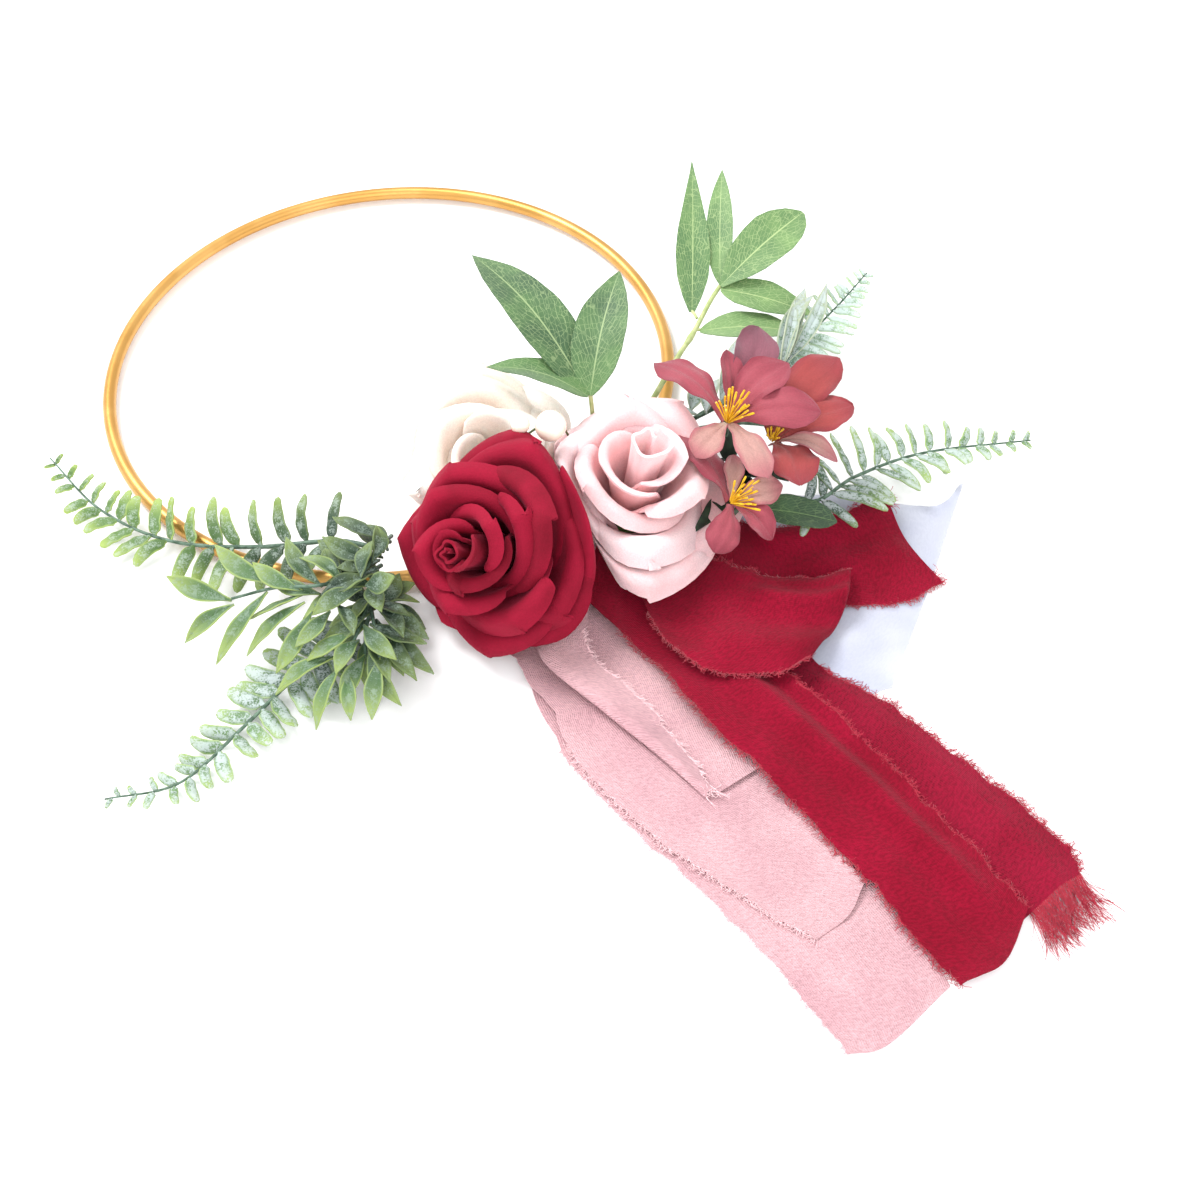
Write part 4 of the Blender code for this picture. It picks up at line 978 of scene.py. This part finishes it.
def green_leaves():
    shape = Shape()
    hub = at(6, 28, 45)
    root = at(7, 16, 13.9)
    shape.tube(spline([root, at(7, 18, 26), at(6.5, 24, 40), hub], 14), 0.9 * MM, 8, slot=1)
    trio = [
        ((5, 28, 45), (-42, 98, 62), 25, BROAD, 0.10, 0.1),
        ((6, 27, 45.6), (20, 78, 67), 23, BROAD, 0.08, -0.15),
        ((5, 26, 46.2), (-36, 35, 56), 18, BROAD, 0.10, 0.25),
    ]
    for i, (base, tip, width, outline, arch, roll) in enumerate(trio):
        blade(
            shape, at(*base), at(*tip), width * MM, outline, roll=roll, arch=arch, fold=0.20, wave=0.012,
            thickness=0.5, rows=26, cols=11, tint=0.2 + 0.3 * i, along=0.5,
        )
    shape.make("leaf_trio_leaves", ["trio leaf", "pale stem"], "leaf_trio", ["leaf_trio"], "leaf_fabric")

    shape = Shape()
    stem = [at(27, 37, 14), at(30, 42, 22), at(43, 63, 30), at(51, 75, 34), at(59, 90, 38), at(64, 98, 40)]
    path = spline(stem, 40)
    knots = 1 + 0.35 * np.exp(-((np.linspace(0, 1, 40) - 0.62) / 0.03) ** 2)
    shape.tube(path, np.linspace(1.3, 1.0, 40) * MM * knots, 10)
    for start, end in (((51, 76, 34), (54, 77, 34)), ((53, 82, 36), (51, 87, 36))):
        shape.tube(spline([at(*start), (at(*start) + at(*end)) / 2 + UP * 0.0004, at(*end)], 6), 0.7 * MM, 8)
    shape.make("spray_upper_twig", ["pale stem"], "upper_spray", ["spray_upper_stem"], "stem_green")
    leaves = [
        ((51, 86, 36), (55, 158, 61), 15.5, LANCE, 0.05, 0.1),
        ((64, 98, 41), (68, 151, 61), 12.0, BROAD, 0.05, -0.2),
        ((64, 96, 41.5), (102, 128, 54), 23, OVAL, 0.06, 0.2),
        ((64, 95, 40.5), (103, 85, 33), 18, BROAD, 0.05, 0.1),
        ((54, 76, 34), (98, 73, 33), 21, BROAD, 0.06, -0.2),
    ]
    for i, (base, tip, width, outline, arch, roll) in enumerate(leaves, 1):
        shape = Shape()
        blade(
            shape, at(*base), at(*tip), width * MM, outline, roll=roll, arch=arch, fold=0.16, wave=0.012,
            thickness=0.5, rows=24, cols=11, tint=0.15 * i, along=0.5,
        )
        node = f"spray_upper_leaf_{i}"
        shape.make(f"spray_upper_blade_{i}", ["light leaf"], "upper_spray", [node], "leaf_fabric")
    shape = Shape()
    blade(
        shape, at(62, -21, 27), at(102.5, -26, 22), 15.0 * MM, OVAL, roll=0.15, arch=0.06, fold=0.25,
        wave=0.03, thickness=0.5, rows=24, cols=11, tint=0.3, along=0.3,
    )
    shape.make("dark_leaf_right", ["dark leaf"], "hoop", ["serrated_leaf"], "leaf_fabric")


# ---------------------------------------------------------------- blossoms


def stamens(shape, centre, axis, count, length, spread, chance, lean=(0, 0, 0)):
    axis = unit(axis)
    level = unit(np.cross(axis, [1.0, 0.2, 0.1]))
    other = np.cross(axis, level)
    for i in range(count):
        turn = i * 2.39996
        out = spread * math.sqrt((i + 0.5) / count)
        toward = unit(axis + (level * math.cos(turn) + other * math.sin(turn)) * out + np.array(lean))
        long = length * chance.uniform(0.75, 1.08)
        foot = centre + (level * math.cos(turn) + other * math.sin(turn)) * 0.0012 * math.sqrt(i / count)
        droop = np.array([chance.uniform(-1, 1), chance.uniform(-1, 1), chance.uniform(-1, 0.4)]) * 0.0012
        path = spline([foot, foot + toward * long * 0.55 + droop * 0.3, foot + toward * long + droop], 7)
        radius = np.array([0.28, 0.26, 0.25, 0.25, 0.26, 0.5, 0.42]) * MM
        shape.tube(path, radius, 6, chance.random())


def blossom(name, centre, petals, axis, count, length, spread, seed, lean=(0, 0, 0)):
    """Petals, each (tip, width, paint, arch, cup, roll), round a tuft of stamens."""
    chance = random.Random(seed)
    middle = at(*centre)
    paints = sorted({p[2] for p in petals})
    shape = Shape()
    for tip, width, paint, arch, cup, roll in petals:
        tip = at(*tip)
        toward = unit(tip - middle)
        facing = unit(np.array(axis) - toward * toward.dot(unit(axis)) * 0.9 + UP * 0.05)
        blade(
            shape, middle + toward * 1.2 * MM - unit(axis) * 0.3 * MM, tip, width * MM, PETAL, up=facing,
            roll=roll, arch=arch, fold=0.06, cup=cup, wave=0.06, thickness=0.45, rows=26, cols=17, crease=0.22,
            bend=chance.uniform(-0.07, 0.07), tint=chance.random(), along=0.5, slot=paints.index(paint),
        )
    shape.make(f"{name}_corolla", paints, "hoop", [f"{name}_petals"], "blossom_fabric")
    shape = Shape()
    stamens(shape, middle + unit(axis) * 0.6 * MM, axis, count, length, spread, chance, lean)
    shape.make(f"{name}_threads", ["stamen"], "hoop", [f"{name}_stamens"], "stamen_yellow")


def blossoms():
    front = [
        ((32, 26, 63), 16, "rose petal", 0.16, -0.15, 0.3),
        ((61, 27, 68), 10, "rose petal", 0.06, 0.3, 0.2),
        ((76, 46, 62), 18, "mauve petal", 0.10, 0.25, 0.0),
        ((85, 19, 67), 17.5, "rose petal", 0.12, 0.15, -0.2),
        ((96, -3, 61), 17, "rose petal", 0.12, -0.10, 0.1),
        ((73, -31, 54), 13, "pale petal", 0.12, -0.20, 0.0),
        ((46, -14, 50), 14, "pale petal", 0.10, 0.1, 0.2),
    ]
    blossom("blossom_front", (60, 1, 54), front, (0.15, -0.35, 0.9), 22, 0.0135, 0.62, 51, (0.10, 0.25, 0.1))
    back = [
        ((107, 33, 56), 19, "coral petal", 0.14, -0.15, 0.2),
        ((111, 10, 51), 18, "coral petal", 0.10, -0.10, 0.0),
        ((87, -25, 43), 20, "coral petal", 0.16, -0.05, 0.0),
        ((74, 40, 58), 12, "coral petal", 0.1, 0.1, 0.0),
        ((103, -11, 41), 8, "pale petal", 0.2, 0.3, 0.2),
    ]
    blossom("blossom_back", (78, 1, 42), back, (0.2, -0.1, 1), 12, 0.006, 0.5, 52)
    low = [
        ((39, 3, 45), 18, "rose petal", 0.16, -0.15, 0.2),
        ((80, -25, 43), 13, "pale petal", 0.10, 0.0, -0.2),
        ((75, -42, 31), 11, "rose petal", 0.18, 0.35, 0.3),
        ((52, -47, 30), 14, "rose petal", 0.14, -0.2, 0.1),
        ((62, -8, 44), 9, "pale petal", 0.1, 0.2, 0.0),
    ]
    blossom("blossom_low", (60, -26, 36), low, (0.45, -0.35, 0.8), 19, 0.0125, 0.8, 53, (0.35, 0.1, 0.1))
    shape = Shape()
    chance = random.Random(54)
    # Very dark leaves in the gaps between the blossoms: painted shade under the flowers.
    between = """
        60 2 26 62 -16 38 12, 62 4 24 74 -12 36 11, 58 6 24 50 -10 34 10, 64 6 22 82 -2 34 10,
        60 0 22 72 -22 28 11, 58 -6 20 60 -26 26 10, 56 10 24 46 22 34 9, 62 8 22 60 26 36 9,
        62 0 24 84 -12 32 10, 64 -4 20 88 -24 24 9, 60 -8 18 44 -30 22 9"""
    for base, tip, width in leaf_rows(between):
        blade(
            shape, at(*base), at(*tip), width * MM, LANCE, roll=chance.uniform(-0.5, 0.5), arch=0.12,
            fold=0.3, wave=0.04, thickness=0.5, rows=14, cols=7, tint=chance.random(), along=0.1,
        )
    shape.make("dark_leaves_between", ["shade leaf"], "hoop", (), "leaf_fabric")
    shape = Shape()
    blade(shape, at(-19, 6, 44), at(-25, -5, 54), 7 * MM, OVAL, roll=0.3, rows=12, cols=7, tint=0.6)
    shape.make("leaf_beside_pearls", ["trio leaf"], "hoop", (), "leaf_fabric")


# ---------------------------------------------------------------- ribbons


CLOTH_GAP = 0.35  # mm from the top of the pile to the middle of the next ribbon
CLOTH = 0.3 * MM
THREAD_GAP = 0.3  # mm from the top of the pile to a loose thread
THREAD_RADIUS = 0.00011
SWING = 10  # degrees to either side, the most that a ribbon swings


class Pile:
    """How high the cloth lies at each place, in millimetres, so that the next piece can lie on it."""

    CELL = 1.5
    LOW = (-90.0, -280.0)
    SIZE = (210, 240)
    PIVOT = (14.0, -4.9)  # where every ribbon swings

    def __init__(self):
        self.top = np.zeros(self.SIZE)

    def cells(self, points):
        i = np.clip(((points[..., 0] - self.LOW[0]) / self.CELL).round().astype(int), 0, self.SIZE[0] - 1)
        j = np.clip(((points[..., 1] - self.LOW[1]) / self.CELL).round().astype(int), 0, self.SIZE[1] - 1)
        return i, j

    def height(self, points):
        i, j = self.cells(points)
        return self.top[i, j]

    def cover(self, points):
        """Raises the pile to a ribbon everywhere the ribbon reaches as it swings."""
        for angle in np.radians(np.arange(-SWING, SWING + 0.25, 0.5)):
            x, y = points[..., 0] - self.PIVOT[0], points[..., 1] - self.PIVOT[1]
            turned = points.copy()
            turned[..., 0] = self.PIVOT[0] + x * math.cos(angle) - y * math.sin(angle)
            turned[..., 1] = self.PIVOT[1] + x * math.sin(angle) + y * math.cos(angle)
            self.raise_to(turned)

    def raise_to(self, points):
        i, j = self.cells(points)
        for di in (-1, 0, 1):
            for dj in (-1, 0, 1):
                a = np.clip(i + di, 0, self.SIZE[0] - 1)
                b = np.clip(j + dj, 0, self.SIZE[1] - 1)
                np.maximum.at(self.top, (a, b), points[..., 2])


def smooth_grid(rows, m, n):
    """A fine grid on smooth curves through a coarse grid of places."""
    across = np.array([spline_even(np.array(row, float), n) for row in rows])
    return np.stack([spline_even(across[:, j], m) for j in range(n)], 1)


def spline_even(points, count):
    """Points on a smooth curve through the given ones, at even steps from one to the next."""
    ends = np.vstack([2 * points[0] - points[1], points, 2 * points[-1] - points[-2]])
    spots = np.linspace(0, len(points) - 1, count)
    i = np.minimum(spots.astype(int), len(points) - 2)
    t = (spots - i)[:, None]
    a, b, c, d = ends[i], ends[i + 1], ends[i + 2], ends[i + 3]
    return 0.5 * (2 * b + (c - a) * t + (2 * a - 5 * b + 4 * c - d) * t**2 + (3 * b - a - 3 * c + d) * t**3)


def settle(grid, pile, ridges):
    """Lays cloth on the pile, with long soft ridges in it; its given heights are above what lies below."""
    m, n = grid.shape[:2]
    v, u = np.meshgrid(np.linspace(0, 1, m), np.linspace(0, 1, n), indexing="ij")
    extra = grid[..., 2].copy()
    for height, u0, u1, wide, v0, v1 in ridges:
        middle = u0 + (u1 - u0) * v
        ends = np.clip((v - v0) / 0.12, 0, 1) * np.clip((v1 - v) / 0.12, 0, 1)
        ends = ends * ends * (3 - 2 * ends)
        extra += height * np.exp(-(((u - middle) / wide) ** 2)) * ends
    floor = pile.height(grid) + CLOTH_GAP
    z = floor + extra
    for _ in range(14):
        around = z.copy()
        around[1:-1] = (z[:-2] + z[2:] + 2 * z[1:-1]) / 4
        around[:, 1:-1] = (around[:, :-2] + around[:, 2:] + 2 * around[:, 1:-1]) / 4
        z = np.maximum(around, floor)
    grid[..., 2] = z
    return grid


def uneven(grid, seed):
    """Lets the two long edges wander a little, as torn cloth does."""
    chance = np.random.default_rng(seed)
    m, n = grid.shape[:2]
    u = np.linspace(-1, 1, n)
    for sign in (-1, 1):
        knots = np.arange(0, m + 3, 3)
        wander = np.interp(np.arange(m), knots, chance.normal(0, 0.55, len(knots)))
        share = np.clip(sign * u, 0, 1) ** 6
        side = grid[:, -1, :2] - grid[:, 0, :2]
        side /= np.maximum(np.linalg.norm(side, axis=1, keepdims=True), 1e-9)
        grid[..., :2] += (wander[:, None] * share[None])[..., None] * side[:, None]
    return grid


def fringe(name, edges, paint, body, seed, slot, pile):
    """Loose threads along edges, each (points, outward directions, longest, spacing, straight)."""
    chance = random.Random(seed)
    shape = Shape()
    ends = []
    for points, outward, longest, spacing, straight in edges:
        lengths = np.concatenate([[0], np.cumsum(np.linalg.norm(np.diff(points, axis=0), axis=1))])
        spot = 0.0
        while spot < lengths[-1]:
            base = np.array([np.interp(spot, lengths, points[:, k]) for k in range(3)])
            out = unit([np.interp(spot, lengths, outward[:, k]) for k in range(3)])
            ahead = unit(
                np.array([np.interp(min(spot + 0.001, lengths[-1]), lengths, points[:, k]) for k in range(3)])
                - np.array([np.interp(max(spot - 0.001, 0), lengths, points[:, k]) for k in range(3)])
            )
            long = longest * chance.uniform(0.3, 1.0) ** (0.6 if straight else 1.2)
            lean = chance.gauss(-0.1, 0.22) if straight else chance.gauss(0.3, 0.6)
            curl = chance.gauss(0, 0.5) if straight else chance.gauss(0, 1.7)
            place = base - out * 0.0006
            step = long / 4
            path = [place]
            for k in range(4):
                angle = lean + curl * k / 4
                direction = out * math.cos(angle) + ahead * math.sin(angle)
                direction = direction + UP * chance.uniform(-0.22, 0.24)
                place = place + unit(direction) * step
                floor = pile.height((place - ANCHOR) / MM) + THREAD_GAP
                place = np.array([place[0], place[1], max(place[2], floor * MM)])
                path.append(place)
            ends += [(path[2] - ANCHOR) / MM, (path[4] - ANCHOR) / MM]
            shape.tube(np.array(path), THREAD_RADIUS, 3, chance.random())
            spot += spacing * chance.uniform(0.5, 1.5)
    pile.cover(np.array(ends))
    return shape.make(name, [paint], body, (), slot)


def ribbon(pile, name, node, cloth, seed, size, places, frayed, ridges, across=3):
    """One ribbon: rows of places from the knot outwards, each from the ribbon's left edge to its right.

    Frayed edges are (edge, first, last, longest thread in mm, spacing in mm), with first and last as shares.
    """
    m, n = size
    grid = settle(uneven(smooth_grid(cloth_rows(places, across), m, n), seed), pile, ridges)
    world = ANCHOR + grid * MM
    down = np.linalg.norm(np.diff(world, axis=0), axis=2)
    side = np.linalg.norm(np.diff(world, axis=1), axis=2)
    v = np.concatenate([np.zeros((1, n)), np.cumsum(down, axis=0)])
    u = np.concatenate([np.zeros((m, 1)), np.cumsum(side, axis=1)], axis=1)
    area = float((down[:, :-1] * side[:-1]).sum())
    colour = cloth.split()[0]
    body = body_of(node)
    shape = Shape()
    shape.sheet(world, CLOTH, 0.5, 0.5, uv=np.stack([u, v], 2))
    thing = shape.make(name, [cloth], body, [node], f"ribbon_{colour}")
    edges = []
    for which, first, last, longest, spacing in frayed:
        line, inner = {
            "left": (world[:, 0], world[:, 1]),
            "right": (world[:, -1], world[:, -2]),
            "end": (world[-1], world[-2]),
        }[which]
        run = slice(int(first * (len(line) - 1)), int(last * (len(line) - 1)) + 1)
        edges.append((line[run], (line - inner)[run], longest * MM, spacing * MM, longest > 10))
    if edges:
        fringe(name + "_fringe", edges, f"{colour} thread", body, seed, f"ribbon_{colour}", pile)
    pile.cover(grid)


def ribbons():
    """The ribbons, from the lowest to the highest; each lies on the pile that the ones before it made."""
    pile = Pile()
    ribbon(
        pile, "white_chiffon", "ribbon_white", "white cloth", 61, (60, 50), """
        10 -12  14 -5  18 2, 40 -44  52 -16  60 10, 76 -76  98 -34  112 8, 98 -96  124 -50  146 0,
        118 -94  140 -42  162 14""",
        [],
        [(1.2, 0.4, 0.6, 0.10, 0.2, 1.0), (1.0, 0.75, 0.7, 0.08, 0.3, 1.1)],
    )
    ribbon(
        pile, "pink_long", "ribbon_pink_long", "pink cloth", 62, (110, 30), """
        10 -12  14 -6  20 -2, -22 -60  -2 -58  16 -52, -12 -112  8 -104  34 -96, 18 -156  40 -148  64 -134,
        50 -194  70 -180  92 -166, 72 -226  92 -212  112 -198, 84 -246  98 -243  122 -222""",
        [("left", 0.35, 1.0, 3.4, 0.25)],
        [(1.6, 0.7, 0.4, 0.16, 0.4, 0.95), (1.0, 0.2, 0.3, 0.12, 0.3, 0.8)],
    )
    ribbon(
        pile, "pink_middle", "ribbon_pink_middle", "pink cloth", 63, (110, 30), """
        8 -12  14 -6  22 -4, -27 -62  -6 -58  20 -54, -26 -78  0 -76  26 -70, -13 -100  8 -94  38 -88,
        -5 -122  16 -114  48 -104, 26 -161  42 -148  68 -130, 60 -190  72 -178  86 -158,
        78 -203  90 -194  97 -181""",
        [("left", 0.55, 1.0, 4.2, 0.22)],
        [
            (2.6, 0.02, 0.05, 0.12, 0.15, 0.65), (2.4, 0.55, 0.5, 0.16, 0.3, 0.9),
            (1.2, 0.95, 0.9, 0.1, 0.5, 1.2),
        ],
    )
    ribbon(
        pile, "pink_fold", "ribbon_pink_fold", "pink cloth", 64, (70, 56), """
        16 -10 0  10 -12 0  6 -14 0  8 -13 1  12 -11 1.5, 40 -52 0  10 -54 0  -12 -58 1  -9 -54 4  2 -52 4,
        50 -74 0  20 -74 0  -14 -78 2  -13 -74 6  2 -74 5, 58 -98 0  30 -98 0  8 -104 2  8 -101 6  22 -101 4,
        64 -118 0  46 -118 0  28 -125 1  28 -122 4  36 -124 3,
        68 -128 0  56 -136 0  44 -144 0  44 -142 2  48 -142 2""",
        [("right", 0.3, 1.0, 4.2, 0.2), ("end", 0.55, 1.0, 7.0, 0.25)],
        [(1.6, 0.25, 0.3, 0.10, 0.3, 1.0)],
        across=5,
    )
    ribbon(
        pile, "burgundy_under", "ribbon_burgundy_upper", "burgundy sheer", 65, (110, 30), """
        12 -14  17 -8  22 -4, 34 -60  52 -44  70 -34, 52 -92  70 -76  90 -80, 72 -116  92 -104  106 -94,
        94 -142  112 -126  128 -115, 116 -168  134 -150  148 -138, 134 -190  152 -174  168 -163,
        146 -202  160 -190  175 -179""",
        [("right", 0.3, 1.0, 5.5, 0.22), ("end", 0.30, 1.0, 23.0, 0.10)],
        [(3.4, 0.85, 0.7, 0.12, 0.3, 1.1), (2.4, 0.5, 0.55, 0.1, 0.35, 0.9)],
    )
    ribbon(
        pile, "burgundy_over", "ribbon_burgundy_lower", "burgundy cloth", 66, (120, 32), """
        8 -12  14 -8  20 -4, 2 -46  22 -38  44 -34, 26 -79  46 -66  66 -74, 44 -108  64 -94  82 -96,
        64 -134  82 -120  96 -113, 84 -160  100 -144  112 -134, 100 -182  114 -168  127 -158,
        110 -200  126 -188  141 -177, 125 -223  141 -216  153 -194""",
        [("left", 0.2, 1.0, 5.2, 0.22), ("right", 0.3, 1.0, 4.0, 0.2)],
        [
            (9.0, 0.32, 0.75, 0.13, 0.28, 0.97), (5.0, 0.08, 0.3, 0.09, 0.35, 1.0),
            (4.0, 0.95, 0.95, 0.08, 0.2, 0.9),
        ],
    )
    ribbon(
        pile, "burgundy_short", "ribbon_burgundy_short", "burgundy cloth", 67, (70, 34), """
        18 2  20 -4  22 -10, 52 6  54 -14  56 -34, 76 -14  80 -28  82 -46, 102 -10  106 -28  106 -52,
        116 -4  124 -26  128 -52, 126 1  134 -22  145 -43""",
        [
            ("left", 0.25, 1.0, 4.5, 0.2), ("right", 0.3, 1.0, 4.0, 0.2),
            ("end", 0.0, 0.15, 7.0, 0.2), ("end", 0.9, 1.0, 6.0, 0.2),
        ],
        [(7.0, 0.15, 0.05, 0.2, 0.3, 1.2), (4.0, 0.6, 0.5, 0.14, 0.4, 1.0)],
    )
    ribbon(
        pile, "burgundy_loop", "ribbon_burgundy_loop", "burgundy cloth", 68, (80, 40), """
        20 -2 0  20 -8 0  18 -14 0, 44 -22 0  38 -38 0  24 -50 0, 60 -31 1  56 -50 1  38 -80 0,
        76 -40 2  76 -60 2  54 -90 0, 94 -43 2  92 -62 2  74 -92 0, 107 -39 2  103 -58 2  87 -84 0,
        106 -42 -0.5  100 -60 -1  85 -84 -1""",
        [("left", 0.2, 0.85, 4.8, 0.2), ("right", 0.2, 0.85, 4.2, 0.18)],
        [(9.0, 0.3, 0.42, 0.13, 0.35, 0.95), (6.0, 0.75, 0.8, 0.1, 0.3, 0.9), (4.0, 0.08, 0.1, 0.08, 0.3, 1.2)],
    )


# ---------------------------------------------------------------- CAD nodes that stay


def repaint():
    paints = {
        "stem_bundle_left": "wire",
        "stem_bundle_right": "wire",
        "tape_wrap_left": "tape",
        "tape_wrap_right": "tape",
        "ribbon_knot": "burgundy foam",
    }
    for colour in ("burgundy", "pink", "ivory"):
        paints[f"rose_{colour}_calyx"] = "calyx"
        paints[f"rose_{colour}_wire"] = "wire"
    for which in ("front", "back", "low"):
        paints[f"blossom_{which}_stem"] = "dark stem"
    for name, paint in paints.items():
        node = NODES[name]
        node.data.materials.clear()
        node.data.materials.append(PAINTS[paint])


# ---------------------------------------------------------------- stage


# The camera was measured from the hoop in the photograph
CAMERA_LENS = 57.63
CAMERA_PLACE = Vector((0.08979, -0.63198, 0.58819))


def stage():
    bpy.ops.mesh.primitive_plane_add(size=6, location=(0, 0, -0.0002))
    floor = bpy.context.object
    floor.name = "floor"
    floor.data.materials.append(PAINTS["floor"])
    world = bpy.data.worlds.new("studio")
    world.use_nodes = True
    world.node_tree.nodes["Background"].inputs[0].default_value = (1.0, 1.0, 1.0, 1)
    world.node_tree.nodes["Background"].inputs[1].default_value = 1.05
    bpy.context.scene.world = world
    middle = Vector(ANCHOR)
    for name, place, size, power in (
        ("key", (-0.75, 0.55, 1.35), 0.7, 28.0),
        ("fill", (1.1, -0.5, 1.1), 1.2, 5.0),
        ("front", (0.0, -1.2, 1.0), 1.2, 12.0),
    ):
        light = bpy.data.lights.new(name, "AREA")
        light.size = size
        light.energy = power
        lamp = bpy.data.objects.new(name, light)
        bpy.context.collection.objects.link(lamp)
        lamp.location = middle + Vector(place)
        lamp.rotation_euler = (middle - lamp.location).to_track_quat("-Z", "Y").to_euler()
    camera = bpy.data.cameras.new("camera")
    camera.sensor_width = 36
    camera.lens = CAMERA_LENS
    eye = bpy.data.objects.new("camera", camera)
    bpy.context.collection.objects.link(eye)
    right = Vector((0.99930907, -0.02849237, -0.0238656))
    above = Vector((0.03716695, 0.76607542, 0.64167521))
    back = Vector((0.0, -0.64211887, 0.76660509))
    turn = Matrix((right, above, back)).transposed().to_4x4()
    eye.matrix_world = Matrix.Translation(HOOP_CENTRE + CAMERA_PLACE) @ turn
    scene = bpy.context.scene
    scene.camera = eye
    scene.view_settings.view_transform = "Standard"


stage()
hoop()
roses()
pearls()
ferns()
sprays()
green_leaves()
blossoms()
ribbons()
repaint()
